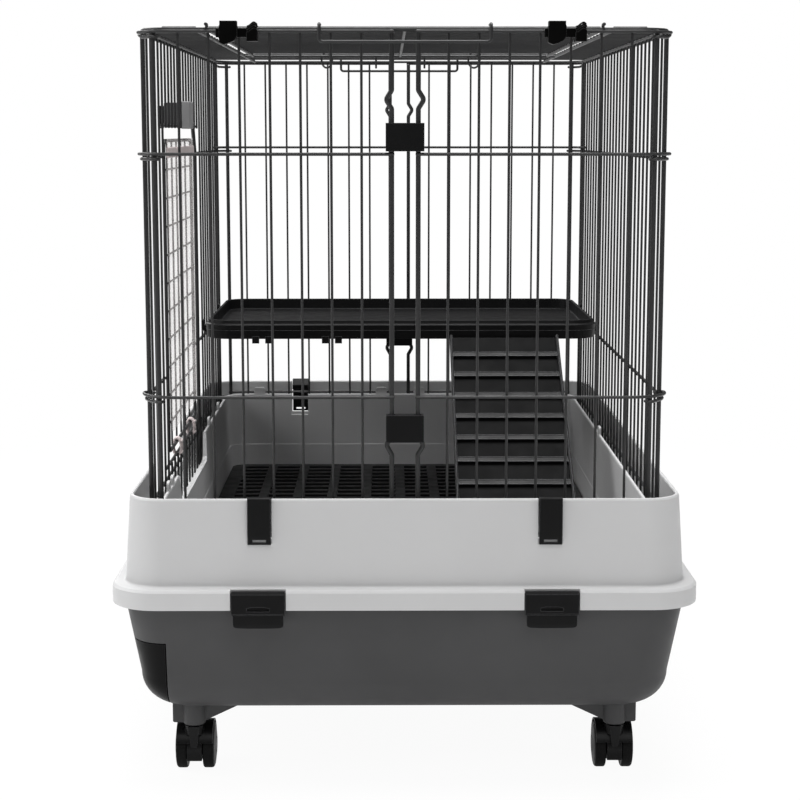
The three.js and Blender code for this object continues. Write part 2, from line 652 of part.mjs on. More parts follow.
function platform() {
  const { halfX, halfY, centreY, low, high } = PLATFORM;
  const section = [
    [-7, high - 17], [-3.4, high - 19], [-3, low], [0, low],
    [0, high - 2], [-1.5, high], [-5.5, high], [-8.5, high - 14],
  ];
  const tray = skin(section.map(([grow, z]) => {
    return roundedRectangle(halfX + grow, halfY + grow, 30 + grow, z, 0, centreY);
  }));
  const hooks = corners.map(([signX, signY]) => {
    const x = [signX * 221, signX * 232.6].sort((a, b) => a - b);
    const y = centreY + signY * (halfY - 45);
    return box(x, [y - 6, y + 6], [372, 384]);
  });
  const keepers = [-171, -156, -91, -76].map((x) => {
    return box([x, x + 8], [platformFront + 0.2, platformFront + 2.8], [360.5, 368]);
  });
  return join([tray, ...hooks, ...keepers]);
}
piece('platform', platform(), 'black');

// Ramp with raised cleats, drawn flat and then tipped about the edge of the platform.
function ramp() {
  const { centre, halfWidth, length, cleats } = { centre: 117.5, halfWidth: 60.5, length: 357, cleats: 10 };
  const cleatPitch = length / (cleats + 0.5);
  const profile = [[0, -4], [0, 0]];
  for (let i = 1; i <= cleats; i++) {
    const y = -cleatPitch * i;
    profile.push([y + 4, 0], [y + 3, 4], [y, 4], [y - 1, 0]);
  }
  profile.push([-length, 0], [-length, -4]);
  const plate = prismAlongX(profile, centre - halfWidth, centre + halfWidth);
  const rails = [-1, 1].map((side) => {
    const edge = centre + side * halfWidth;
    return box([edge - 1.5, edge + 1.5], [-length, -0.5], [-5, 6]);
  });
  return join([plate, ...rails]);
}
const RAMP_TIP = Math.asin(200 / 357);
const rampBody = ramp();
const rampTop = { y: 55.2, z: 367.8 };
const tipped = geometryOf(rampBody).rotateX(RAMP_TIP).translate(0, rampTop.y, rampTop.z);
const ears = [-1, 1].map((side) => {
  const x = 117.5 + side * 42;
  return box([x - 8, x + 8], [52.5, 59.6], [358, 364.6]);
});
piece('ramp', join([tipped, ...ears]), 'black');

export default cage;
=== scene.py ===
"""Looks of the wire rabbit cage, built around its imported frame.

Shapes are written in millimetres and turned into metres when a piece is made. +Z is up, -Y is the front.
"""

import json
import math

import bmesh
import bpy
from mathutils import Matrix, Quaternion, Vector


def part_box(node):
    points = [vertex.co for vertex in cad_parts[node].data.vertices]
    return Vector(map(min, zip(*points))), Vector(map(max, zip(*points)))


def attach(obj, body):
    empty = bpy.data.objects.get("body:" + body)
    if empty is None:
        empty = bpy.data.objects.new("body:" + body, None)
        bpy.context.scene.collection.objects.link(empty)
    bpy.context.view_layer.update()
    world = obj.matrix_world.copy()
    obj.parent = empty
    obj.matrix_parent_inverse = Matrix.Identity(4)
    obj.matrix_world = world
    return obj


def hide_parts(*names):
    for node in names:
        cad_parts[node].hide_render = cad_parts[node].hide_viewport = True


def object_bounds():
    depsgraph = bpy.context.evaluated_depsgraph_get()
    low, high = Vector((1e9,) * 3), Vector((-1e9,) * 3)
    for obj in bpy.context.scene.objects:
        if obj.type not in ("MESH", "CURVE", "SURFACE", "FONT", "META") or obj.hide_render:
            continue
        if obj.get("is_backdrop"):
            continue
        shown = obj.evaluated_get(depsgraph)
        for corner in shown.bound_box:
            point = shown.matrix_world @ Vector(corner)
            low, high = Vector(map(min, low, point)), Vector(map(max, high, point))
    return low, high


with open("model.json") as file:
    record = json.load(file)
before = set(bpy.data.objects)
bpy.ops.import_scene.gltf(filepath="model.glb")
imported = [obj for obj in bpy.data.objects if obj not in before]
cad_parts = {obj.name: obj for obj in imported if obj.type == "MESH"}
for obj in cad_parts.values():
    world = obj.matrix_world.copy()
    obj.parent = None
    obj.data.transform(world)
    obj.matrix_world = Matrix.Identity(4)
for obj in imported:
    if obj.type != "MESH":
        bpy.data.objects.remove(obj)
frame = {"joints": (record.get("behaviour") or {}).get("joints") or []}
cad_low, cad_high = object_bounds()
MM = 0.001
joints = {joint["name"]: joint for joint in frame["joints"]}


# ---------------------------------------------------------------- places taken from the frame


def corners_of(node):
    """Lowest and highest corner of a CAD node, in millimetres."""
    low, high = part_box(node)
    return low / MM, high / MM


def pivot_of(joint):
    """A point on a joint's axis, in millimetres."""
    return Vector(joints[joint]["pos_m"]) / MM


THIN_WIRE = 2.4
RAIL_WIRE = 3.0
POST_WIRE = 4.5
MESH_WIRE = 2.0
RAIL_OUT = 2.7  # from the plane of the uprights to the rails welded on them
RIDGE = math.sqrt(math.pi / 8)  # a frame wire's ridge to its diameter

leaf_low = corners_of("wire_leaf_front_right")[0]
side_low, side_high = corners_of("wire_side_right")
END_Y = -leaf_low.y - RIDGE * RAIL_WIRE - RAIL_OUT
SIDE_RAIL_X = side_high.x - RIDGE * RAIL_WIRE
SIDE_X = SIDE_RAIL_X - RAIL_OUT
POST_Y = side_high.y - 4
FOOT_Z = side_low.z
WIRE_TOP_Z = side_high.z
TOP_Z = pivot_of("top_door_lift").z
TOP_CROSS_Z = TOP_Z + RAIL_OUT
SIDE_RAIL_DROP = 4.5
RAIL_Z = [259, 362.5, 581, 688.2]
PITCH = 27
CENTRE_BAR_X = 11.85
FIRST_THIN_X = 38.6
THIN_COUNT = 7
END_POST = Vector((223.3, 371.2, 0))
SIDE_GAPS = 26
TOP_GAPS = 28
CORNER = Vector((205.4, 346.8, 0))  # about which the wires turn round a corner of the cage
CORNERS = [(-1, -1, "front_left"), (1, -1, "front_right"), (-1, 1, "back_left"), (1, 1, "back_right")]


def side_y(i):
    return -POST_Y + 2 * POST_Y * i / SIDE_GAPS


def top_y(i):
    return -END_Y + 2 * END_Y * i / TOP_GAPS


# ---------------------------------------------------------------- shapes in millimetres


class Shape:
    """Points and faces, in millimetres."""

    def __init__(self, points=(), faces=()):
        self.points = [Vector(p) for p in points]
        self.faces = [list(face) for face in faces]

    def add(self, *others):
        for other in others:
            first = len(self.points)
            self.points += [p.copy() for p in other.points]
            self.faces += [[first + i for i in face] for face in other.faces]
        return self

    def turned(self, matrix):
        return Shape([matrix @ p for p in self.points], self.faces)

    def scaled(self, x, y, z=1):
        return self.turned(Matrix.Diagonal((x, y, z, 1)))


def loft(rings, loop=False):
    """Skin over a stack of rings, capped at both ends unless it loops."""
    size = len(rings[0])
    faces = []
    for i in range(len(rings) if loop else len(rings) - 1):
        low = i * size
        high = (i + 1) % len(rings) * size
        for j in range(size):
            k = (j + 1) % size
            faces.append([low + j, low + k, high + k, high + j])
    last = (len(rings) - 1) * size
    if not loop:
        faces.append(list(range(size))[::-1])
        faces.append([last + j for j in range(size)])
    return Shape([p for ring in rings for p in ring], faces)


def arc(centre, reach, start, stop, steps):
    """Flat arc about a centre; its two reaches may differ."""
    return [
        (centre[0] + reach[0] * math.cos(a), centre[1] + reach[1] * math.sin(a))
        for a in (start + (stop - start) * i / steps for i in range(steps + 1))
    ]


def circle(centre, reach, sides):
    return arc(centre, reach, 0, 2 * math.pi * (1 - 1 / sides), sides - 1)


def corner_loop(centre, half, reach, z, steps):
    """Closed loop of four quarter arcs, whose centres lie half out from the middle."""
    points = []
    for quarter, (sign_x, sign_y) in enumerate(((1, 1), (-1, 1), (-1, -1), (1, -1))):
        turning = (centre[0] + sign_x * half[0], centre[1] + sign_y * half[1])
        start = quarter * math.pi / 2
        points += arc(turning, reach, start, start + math.pi / 2, steps)
    return [Vector((x, y, z)) for x, y in points]


def bend(corners, radius, closed=False, steps=5):
    """Path through these corners, with the inner ones rounded."""
    corners = [Vector(c) for c in corners]
    count = len(corners)
    path = []
    for i, corner in enumerate(corners):
        if not closed and i in (0, count - 1):
            path.append(corner)
            continue
        back = corners[i - 1] - corner
        on = corners[(i + 1) % count] - corner
        opening = back.angle(on)
        wanted = radius[i] if isinstance(radius, (list, tuple)) else radius
        if opening > 3.1 or wanted <= 0:
            path.append(corner)
            continue
        reach = min(wanted / math.tan(opening / 2), 0.48 * back.length, 0.48 * on.length)
        start = corner + back.normalized() * reach
        middle = (back.normalized() + on.normalized()).normalized()
        centre = corner + middle * (reach / math.cos(opening / 2))
        axis = (start - centre).cross(corner - centre)
        sweep = math.pi - opening
        for step in range(steps + 1):
            turn = Quaternion(axis, sweep * step / steps)
            path.append(centre + turn @ (start - centre))
    return path


def tube(path, diameter, sides=10, loop=False):
    """Round wire along a path. Open ends are slightly domed."""
    path = [Vector(p) for p in path]
    radius = diameter / 2
    count = len(path)
    headings = []
    for i in range(count):
        before = path[i - 1] if i or loop else path[0]
        after = path[(i + 1) % count] if i < count - 1 or loop else path[i]
        headings.append((after - before).normalized())
    normal = headings[0].orthogonal().normalized()
    stations = []
    for i in range(count):
        if i:
            normal = headings[i - 1].rotation_difference(headings[i]) @ normal
        stations.append((path[i], headings[i], normal.copy(), 1.0))
    if not loop:
        dome = 0.35 * radius
        for end, way in ((0, 1), (-1, -1)):
            point, heading, side, _ = stations[end]
            inner = (point + way * heading * dome, heading, side, 1.0)
            outer = (point, heading, side, 0.7)
            if end == 0:
                stations[0:1] = [outer, inner]
            else:
                stations[-1:] = [inner, outer]
    rings = []
    for point, heading, side, share in stations:
        other = heading.cross(side)
        rings.append([
            point + share * radius * (side * math.cos(t) + other * math.sin(t))
            for t in (2 * math.pi * k / sides for k in range(sides))
        ])
    return loft(rings, loop)


def bead(x, y, z, along, reach=1.5):
    """Weld between two crossing wires, a little longer along one axis."""
    half = Vector((reach, reach, reach))
    half["xyz".index(along)] *= 1.45
    rings = []
    for lift in (-0.9, -0.45, 0.45, 0.9):
        wide = math.sqrt(1 - lift * lift)
        outline = circle((x, y), (half.x * wide, half.y * wide), 8)
        rings.append([Vector((a, b, z + half.z * lift)) for a, b in outline])
    return loft(rings)


def across(x0, x1, y, z, diameter):
    return tube([(x0, y, z), (x1, y, z)], diameter)


def along(y0, y1, x, z, diameter):
    return tube([(x, y0, z), (x, y1, z)], diameter)


def upright(z0, z1, x, y, diameter):
    return tube([(x, y, z0), (x, y, z1)], diameter)


def rectangle(x, y):
    """Corners of a rectangle between pairs of limits."""
    return [(x[0], y[0]), (x[1], y[0]), (x[1], y[1]), (x[0], y[1])]


def block(x, y, z):
    """Box between pairs of limits."""
    return loft([[Vector((a, b, height)) for a, b in rectangle(x, y)] for height in z])


def prism(outline, low, high, axis):
    """Prism along X over [y, z] points, along Y over [x, z] points or along Z over [x, y] points."""
    place = {
        "x": lambda a, b, at: Vector((at, a, b)),
        "y": lambda a, b, at: Vector((a, at, b)),
        "z": lambda a, b, at: Vector((a, b, at)),
    }[axis]
    return loft([[place(point[0], point[1], at) for point in outline] for at in (low, high)])


def flat_bend(outline, radius, steps=4):
    """Closed flat outline with rounded corners."""
    return [(p.x, p.y) for p in bend([(a, b, 0) for a, b in outline], radius, True, steps)]


def spun(profile, centre, axis, steps=32):
    """Solid of revolution about an axis along X or Z, from (radius, place along the axis) points."""
    rings = []
    for radius, place in profile:
        outline = circle((0, 0), (radius, radius), steps)
        offsets = [(place, a, b) if axis == "x" else (a, b, place) for a, b in outline]
        rings.append([Vector(centre) + Vector(offset) for offset in offsets])
    return loft(rings)


def rounded_rectangle(half_x, half_y, radius, z, centre=(0, 0)):
    return corner_loop(centre, (half_x - radius, half_y - radius), (radius, radius), z, 12)


# ---------------------------------------------------------------- materials


class Nodes:
    """Small helper that adds and links the nodes of one material."""

    def __init__(self, name):
        self.material = bpy.data.materials.new(name)
        self.material.use_nodes = True
        self.tree = self.material.node_tree
        self.shader = self.tree.nodes["Principled BSDF"]
        self.place = self.node("ShaderNodeTexCoord").outputs["Object"]

    def node(self, kind, **values):
        made = self.tree.nodes.new(kind)
        for key, value in values.items():
            setattr(made, key, value)
        return made

    def link(self, source, target):
        """Links a socket, or sets a plain value."""
        if isinstance(source, bpy.types.NodeSocket):
            self.tree.links.new(source, target)
        else:
            target.default_value = source

    def give(self, **values):
        """Feeds the plastic or metal shader; an underscore stands for a space."""
        for key, value in values.items():
            self.link(value, self.shader.inputs[key.replace("_", " ")])

    def noise(self, scale, detail=3.0, roughness=0.5):
        made = self.node("ShaderNodeTexNoise")
        settings = {"Vector": self.place, "Scale": scale, "Detail": detail, "Roughness": roughness}
        for key, value in settings.items():
            self.link(value, made.inputs[key])
        return made.outputs["Fac"]

    def range(self, source, low, high, new_low, new_high):
        made = self.node("ShaderNodeMapRange")
        keys = ("Value", "From Min", "From Max", "To Min", "To Max")
        for key, value in zip(keys, (source, low, high, new_low, new_high)):
            self.link(value, made.inputs[key])
        return made.outputs["Result"]

    def spread(self, noise, low, high):
        """Spreads the middle of a noise over low to high."""
        return self.range(noise, 0.3, 0.7, low, high)

    def rough(self, noise, low, high):
        self.give(Roughness=self.spread(noise, low, high))

    def mix(self, factor, first, second):
        made = self.node("ShaderNodeMix", data_type="RGBA")
        self.link(factor, made.inputs["Factor"])
        for slot, value in (("A", first), ("B", second)):
            self.link(value, next(s for s in made.inputs if s.name == slot and s.type == "RGBA"))
        return next(s for s in made.outputs if s.type == "RGBA")

    def mix_shaders(self, factor, first, second):
        made = self.node("ShaderNodeMixShader")
        for i, value in enumerate((factor, first, second)):
            self.link(value, made.inputs[i])
        return made.outputs["Shader"]

    def show(self, shader):
        self.link(shader, self.tree.nodes["Material Output"].inputs["Surface"])

    def bump(self, height, distance, strength, under=None):
        made = self.node("ShaderNodeBump")
        self.link(distance * MM, made.inputs["Distance"])
        self.link(strength, made.inputs["Strength"])
        self.link(height, made.inputs["Height"])
        if under:
            self.link(under, made.inputs["Normal"])
        return made.outputs["Normal"]

    def edges(self, radius=0.7):
        """1 near sharp edges, 0 elsewhere."""
        rounded = self.node("ShaderNodeBevel", samples=4)
        rounded.inputs["Radius"].default_value = radius * MM
        turn = self.node("ShaderNodeVectorMath", operation="DOT_PRODUCT")
        self.link(rounded.outputs["Normal"], turn.inputs[0])
        self.link(self.node("ShaderNodeNewGeometry").outputs["Normal"], turn.inputs[1])
        return self.range(turn.outputs["Value"], 1.0, 0.93, 0.0, 1.0)


def grey(value, tint=(1, 1, 1)):
    return (value * tint[0], value * tint[1], value * tint[2], 1.0)


def moulded(name, shade, roughness, tint=(1, 1, 1), grain=1.0, edge_highlight=0.35, mottle=0.06, shine=0.22):
    """Injection-moulded plastic: fine spark-eroded grain, soft mottling, and sharp edges painted lighter, a
    painted highlight along the bevels.
    """
    m = Nodes(name)
    cloud = m.spread(m.noise(14, 4), 0, 1)
    body = m.mix(cloud, grey(shade * (1 - mottle), tint), grey(shade * (1 + mottle), tint))
    # Painted highlight: near sharp edges the base colour is mixed towards a much lighter grey.
    highlit_edges = m.mix(m.edges(), body, grey(min(1, shade * (1 + edge_highlight) + 0.01 * edge_highlight), tint))
    m.rough(m.noise(60, 5), roughness - 0.06, roughness + 0.07)
    pebble = m.bump(m.noise(1400, 2), 0.05, 0.5 * grain)
    ripple = m.bump(m.noise(9, 1), 0.8, 0.08, pebble)
    m.give(Base_Color=highlit_edges, Normal=ripple, IOR=1.48, Specular_IOR_Level=shine)
    return m.material


def powder_coat(name, shade, roughness):
    """Semi-gloss powder coat on wire: orange peel and tiny specks."""
    m = Nodes(name)
    cloud = m.spread(m.noise(35, 3), 0, 1)
    body = m.mix(cloud, grey(shade * 0.88, (1, 1, 1.03)), grey(shade * 1.15, (1, 1, 1.03)))
    speck = m.range(m.noise(2600, 1), 0.68, 0.74, 0, 1)
    specked = m.mix(speck, body, grey(shade * 1.9))
    m.rough(m.noise(240, 3), roughness - 0.08, roughness + 0.1)
    peel = m.bump(m.noise(620, 2, 0.4), 0.12, 0.45)
    m.give(Base_Color=specked, Normal=m.bump(m.noise(2600, 2), 0.03, 0.3, peel))
    m.give(Specular_IOR_Level=0.3, Coat_Weight=0.12, Coat_Roughness=0.3)
    return m.material


def zinc_steel(name):
    m = Nodes(name)
    spangle = m.node("ShaderNodeTexVoronoi")
    m.link(420, spangle.inputs["Scale"])
    m.link(m.place, spangle.inputs["Vector"])
    tone = m.mix(spangle.outputs["Distance"], grey(0.55), grey(0.42))
    m.rough(m.noise(300, 4), 0.25, 0.45)
    m.give(Base_Color=tone, Normal=m.bump(m.noise(900, 3), 0.03, 0.4), Metallic=1)
    return m.material


def clear_sheet(name):
    """Slightly milky flexible sheet: light passes through it and glows in it."""
    m = Nodes(name)
    haze = m.spread(m.noise(22, 4), 0, 1)
    tone = m.mix(haze, (0.80, 0.76, 0.75, 1), (0.86, 0.83, 0.82, 1))
    wave = m.bump(m.noise(9, 2), 0.6, 0.12)
    m.rough(m.noise(90, 4), 0.22, 0.36)
    m.give(Base_Color=tone, Normal=wave)
    glow = m.node("ShaderNodeBsdfTranslucent")
    m.link(tone, glow.inputs["Color"])
    m.link(wave, glow.inputs["Normal"])
    body = m.mix_shaders(0.55, m.shader.outputs["BSDF"], glow.outputs["BSDF"])
    clear = m.node("ShaderNodeBsdfTransparent")
    m.show(m.mix_shaders(m.spread(m.noise(14, 3), 0.2, 0.26), clear.outputs["BSDF"], body))
    return m.material


wire_coat = powder_coat("wire_coat", 0.022, 0.42)
# The sixth value of each moulded plastic sets how much lighter its sharp edges are painted, a painted
# highlight along the bevels.
ring_plastic = moulded("ring_plastic", 0.58, 0.5, (1, 1.0, 1.005), 0.7, 0.15, 0.012, 0.3)
tub_plastic = moulded("tub_plastic", 0.062, 0.5, (1, 1, 1.02), 1.0, 0.3, shine=0.2)
black_plastic = moulded("black_plastic", 0.006, 0.42, (1, 1, 1.04), 1.0, 5.0, shine=0.1)
latch_black = moulded("latch_black", 0.0015, 0.35, (1, 1, 1), 0.6, 3.0, shine=0.06)
ramp_black = moulded("ramp_black", 0.004, 0.4, (1, 1, 1.04), 1.0, 6.0, shine=0.02)
# Same black plastic as the ramp, with its edges painted far lighter: painted highlight lines along the cleats
# and side rails.
cleat_highlit_black = moulded("cleat_highlit_black", 0.006, 0.4, (1, 1, 1.04), 1.0, 14.0, shine=0.13)
tray_plastic = moulded("tray_plastic", 0.005, 0.36, (1, 1, 1.04), 0.8, 1.5, shine=0.07)
grate_plastic = moulded("grate_plastic", 0.006, 0.38, (1, 1, 1.04), 0.8, 2.5, shine=0.2)
grey_plastic = moulded("grey_plastic", 0.26, 0.5, (1, 1, 1.01), 1.0, 0.2)
nylon = moulded("caster_nylon", 0.0045, 0.3, (1, 1, 1.05), 0.6, 1.5, shine=0.16)
tread_rubber = moulded("tread_rubber", 0.006, 0.6, (1, 1, 1), 1.6, 0.6, shine=0.1)
knuckle_plastic = moulded("knuckle_plastic", 0.62, 0.4, (1, 0.88, 0.87), 0.6, 0.1)
steel = zinc_steel("axle_steel")
pale_sheet = clear_sheet("pale_sheet")


# ---------------------------------------------------------------- making pieces


def mesh_object(name, shape, look=None):
    mesh = bpy.data.meshes.new(name)
    mesh.from_pydata([p * MM for p in shape.points], [], shape.faces)
    work = bmesh.new()
    work.from_mesh(mesh)
    bmesh.ops.remove_doubles(work, verts=work.verts, dist=1e-6)
    bmesh.ops.dissolve_degenerate(work, edges=work.edges, dist=1e-6)
    bmesh.ops.recalc_face_normals(work, faces=work.faces)
    work.to_mesh(mesh)
    work.free()
    if look:
        mesh.materials.append(look)
    made = bpy.data.objects.new(name, mesh)
    bpy.context.scene.collection.objects.link(made)
    return made


def settle(piece):
    """Replaces a piece's mesh with what its modifiers make of it."""
    bpy.context.view_layer.update()
    shown = piece.evaluated_get(bpy.context.evaluated_depsgraph_get())
    mesh = bpy.data.meshes.new_from_object(shown)
    mesh.name = piece.name
    piece.modifiers.clear()
    piece.data = mesh


def shape_of(piece):
    """The shape of a piece, which is then removed."""
    shape = Shape([v.co / MM for v in piece.data.vertices], [face.vertices for face in piece.data.polygons])
    bpy.data.objects.remove(piece)
    return shape


def combine(piece, shape, operation):
    """Cuts, joins or intersects a piece with a closed shape."""
    tool = mesh_object("tool", shape)
    modifier = piece.modifiers.new("combine", "BOOLEAN")
    modifier.operation = operation
    modifier.solver = "EXACT"
    modifier.object = tool
    settle(piece)
    bpy.data.objects.remove(tool)


def soften(piece, width, segments=2, angle=38):
    """Rounds the sharp edges of a piece."""
    modifier = piece.modifiers.new("soften", "BEVEL")
    modifier.width = width * MM
    modifier.segments = segments
    modifier.limit_method = "ANGLE"
    modifier.angle_limit = math.radians(angle)
    modifier.use_clamp_overlap = True
    settle(piece)


def mirror_to_front(piece):
    """Turns a piece drawn for the back end into its mirror image at the front."""
    piece.data.transform(Matrix.Diagonal((1, -1, 1, 1)))
    piece.data.flip_normals()


def finish_piece(piece, body, nodes, sharp=35, flats=True):
    piece.data.shade_smooth()
    piece.data.set_sharp_from_angle(angle=math.radians(sharp))
    if flats:
        modifier = piece.modifiers.new("flats", "WEIGHTED_NORMAL")
        modifier.keep_sharp = True
        modifier.weight = 60
        settle(piece)
    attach(piece, body)
    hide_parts(*nodes)
    return piece


def make(name, shape, look, body, nodes, width=0, segments=2, sharp=35):
    piece = mesh_object(name, shape, look)
    if width:
        soften(piece, width, segments)
    return finish_piece(piece, body, nodes, sharp, bool(width))


# ---------------------------------------------------------------- end panels


def corner_arc(reach_x, reach_y, start, stop, z):
    """Arc about the cage's corner, for angles from +X towards +Y."""
    return [(x, y, z) for x, y in arc(CORNER, (reach_x, reach_y), start, stop, 10)]


def curl(centre, radius, start, stop, z):
    return [(x, y, z) for x, y in arc(centre, (radius, radius), start, stop, 12)]


def leaf_rail(z):
    """Rail of the back right leaf, round the corner; the middle ones also curl about the side's post."""
    reach_x, reach_y = SIDE_X + 4.9 - CORNER.x, END_Y + RAIL_OUT - CORNER.y
    start = [(9.6, END_Y + RAIL_OUT, z)]
    if z in (RAIL_Z[0], RAIL_Z[3]):
        stop = math.pi * (0.3 if z == RAIL_Z[0] else 0.12)
        return tube(start + corner_arc(reach_x, reach_y, math.pi / 2, stop, z), RAIL_WIRE)
    post = Vector((SIDE_X + 0.3, POST_Y, 0))
    end = curl(post, 4.6, -0.05, -math.pi * 1.25, z)
    return tube(start + corner_arc(reach_x, reach_y, math.pi / 2, 0.03, z) + end, RAIL_WIRE)


def centre_bar():
    """Thick bar beside the split, kinked outwards below the lower plate and above the upper one."""
    lower = corners_of("link_plate_front_lower")[0].z
    upper = corners_of("link_plate_front_upper")[1].z + 20.5
    kink = 4.3
    path = [
        (CENTRE_BAR_X, END_Y, FOOT_Z),
        (CENTRE_BAR_X, END_Y, lower - 12),
        (CENTRE_BAR_X + kink, END_Y, lower - 4.4),
        (CENTRE_BAR_X + kink, END_Y, lower - 1.6),
        (CENTRE_BAR_X, END_Y, lower + 5),
        (CENTRE_BAR_X, END_Y, upper - 8),
        (CENTRE_BAR_X + kink, END_Y, upper - 1.2),
        (CENTRE_BAR_X + kink, END_Y, upper + 1.2),
        (CENTRE_BAR_X, END_Y, upper + 8),
        (CENTRE_BAR_X, END_Y, WIRE_TOP_Z),
    ]
    return tube(bend(path, 3.2), POST_WIRE, 14)


def leaf():
    """The back right leaf; the other three are mirrored copies."""
    shape = Shape().add(centre_bar())
    places = [(FIRST_THIN_X + PITCH * i, END_Y, THIN_WIRE) for i in range(THIN_COUNT)]
    places.append((END_POST.x, END_POST.y, POST_WIRE))
    for x, y, diameter in places:
        shape.add(upright(FOOT_Z, WIRE_TOP_Z, x, y, diameter))
    for z in RAIL_Z:
        shape.add(leaf_rail(z), bead(CENTRE_BAR_X, END_Y + 1.8, z, "x", 1.9))
        shape.add(bead(END_POST.x - 0.3, END_POST.y + 2.4, z, "x", 1.9))
        for x, y, diameter in places[:-1]:
            shape.add(bead(x, y + RAIL_OUT / 2, z, "x"))
    return shape


def link_plate(z0, z1):
    """Moulded plate with two bars through it, a bevelled frame and pockets where the bars enter."""
    shape = block((-17.2, 17.2), (370.6, 382.2), (z0, z1))
    piece = mesh_object("plate", shape, black_plastic)
    for side in (-1, 1):
        x = side * CENTRE_BAR_X
        combine(piece, spun([(2.6, z0 - 5), (2.6, z1 + 5)], (x, END_Y, 0), "z", 20), "DIFFERENCE")
        pocket = block((x - 3.3, x + 3.3), (END_Y - 3.2, END_Y + 3.2), (z1 - 1.6, z1 + 3))
        combine(piece, pocket, "DIFFERENCE")
    soften(piece, 1.1, 3)
    return piece


leaf_shape = leaf()
for sign_x, sign_y, corner in CORNERS:
    node = f"wire_leaf_{corner}"
    make(f"{node}_wires", leaf_shape.scaled(sign_x, sign_y), wire_coat, "cage", [node])

for level in ("lower", "upper"):
    for end, sign in (("front", -1), ("back", 1)):
        node = f"link_plate_{end}_{level}"
        low, high = corners_of(node)
        plate = link_plate(low.z, high.z)
        plate.name = f"{node}_moulding"
        if sign < 0:
            mirror_to_front(plate)
        finish_piece(plate, "cage", [node])


# ---------------------------------------------------------------- side panels

SILL_RAIL_Z = 266
HEADER_RAIL_Z = 607
EDGE_POST = 16  # the thick upright at the far edge of the door's opening
SIDE_RAIL_END = CORNER.y - 12  # where a side rail starts to bend round the cage's corner


def side_rail(y0, y1, z):
    return along(y0, y1, SIDE_RAIL_X, z, RAIL_WIRE)


def side_rail_heights():
    """Side rails pass just below the end rails, except that the top one lies against the roof's outline."""
    return [z - SIDE_RAIL_DROP for z in RAIL_Z[:-1]] + [RAIL_Z[-1]]


def side_rail_ends(z):
    """Bends of a side rail round the cage's corners; above the base they curl about the end panels' posts."""
    shape = Shape()
    reach = SIDE_RAIL_X - CORNER.x
    turn = math.radians(34)
    for sign in (-1, 1):
        dip = SIDE_RAIL_DROP if z == RAIL_Z[-1] else 0
        path = [(SIDE_RAIL_X, SIDE_RAIL_END, z)]
        arc_points = corner_arc(reach, reach, 0, turn, z)
        path += [(x, y, z - dip * (i + 1) / len(arc_points)) for i, (x, y, _) in enumerate(arc_points)]
        if z > RAIL_Z[0]:
            path += curl(END_POST, 4.3, turn + 0.04, turn + math.pi * 0.8, z - dip)
        shape.add(tube(path, RAIL_WIRE).scaled(1, sign))
    return shape


def whole_side_rail(z):
    return Shape().add(side_rail(-SIDE_RAIL_END, SIDE_RAIL_END, z), side_rail_ends(z))


def side_beads(i, heights):
    return [bead(SIDE_X + RAIL_OUT / 2, side_y(i), z, "y") for z in heights]


def side_upright(i, z0, z1):
    diameter = POST_WIRE if i in (0, SIDE_GAPS) else THIN_WIRE
    return upright(z0, z1, SIDE_X, side_y(i), diameter)


def plain_side():
    shape = Shape()
    heights = side_rail_heights()
    for z in heights:
        shape.add(whole_side_rail(z))
    for i in range(SIDE_GAPS + 1):
        shape.add(side_upright(i, FOOT_Z, WIRE_TOP_Z), *side_beads(i, heights))
    return shape


def door_side():
    """The side with the door, drawn on +X and mirrored."""
    door_start = corners_of("side_door")[0].y
    near = door_start - 10
    near_rail = door_start - 22
    far_rail = side_y(EDGE_POST) - 2
    foot, low, high, top = side_rail_heights()
    shape = Shape().add(whole_side_rail(foot), whole_side_rail(top))
    for z in (low, high):
        shape.add(side_rail(-SIDE_RAIL_END, near_rail, z), side_rail(far_rail, SIDE_RAIL_END, z))
        shape.add(side_rail_ends(z))
    end = side_y(EDGE_POST + 1) + 3
    for z in (SILL_RAIL_Z, HEADER_RAIL_Z):
        shape.add(side_rail(near_rail - 5, end, z))
    edge_y = side_y(EDGE_POST)
    edge_path = [(SIDE_X, edge_y, FOOT_Z), (SIDE_X, edge_y, 578), (SIDE_X, edge_y - 20, HEADER_RAIL_Z + 4)]
    shape.add(tube(bend(edge_path, 14), POST_WIRE, 14))
    shape.add(*side_beads(EDGE_POST, (foot, SILL_RAIL_Z, low, high)))
    for i in range(SIDE_GAPS + 1):
        above = side_upright(i, HEADER_RAIL_Z - 2.5, WIRE_TOP_Z)
        if i == EDGE_POST:
            shape.add(above, *side_beads(i, (HEADER_RAIL_Z, top)))
        elif side_y(i) > near and i <= EDGE_POST + 1:
            shape.add(above, side_upright(i, FOOT_Z, SILL_RAIL_Z + 2.5))
            shape.add(*side_beads(i, (foot, SILL_RAIL_Z, HEADER_RAIL_Z, top)))
        else:
            shape.add(side_upright(i, FOOT_Z, WIRE_TOP_Z), *side_beads(i, (foot, low, high, top)))
    return shape


make("wire_side_right_wires", plain_side(), wire_coat, "cage", ["wire_side_right"])
make("wire_side_left_wires", door_side().scaled(-1, 1), wire_coat, "cage", ["wire_side_left"])


# ---------------------------------------------------------------- drop-down side door

DOOR_ROWS = 10
DOOR_ROW_PITCH = 28.5
DOOR_COLUMNS = 5
door_low, door_high = corners_of("side_door")
door_pivot = pivot_of("side_door_drop")
door_x = -SIDE_RAIL_X
door_near = door_low.y + RIDGE * POST_WIRE
door_far = door_high.y - RIDGE * POST_WIRE
door_top = door_high.z - 2


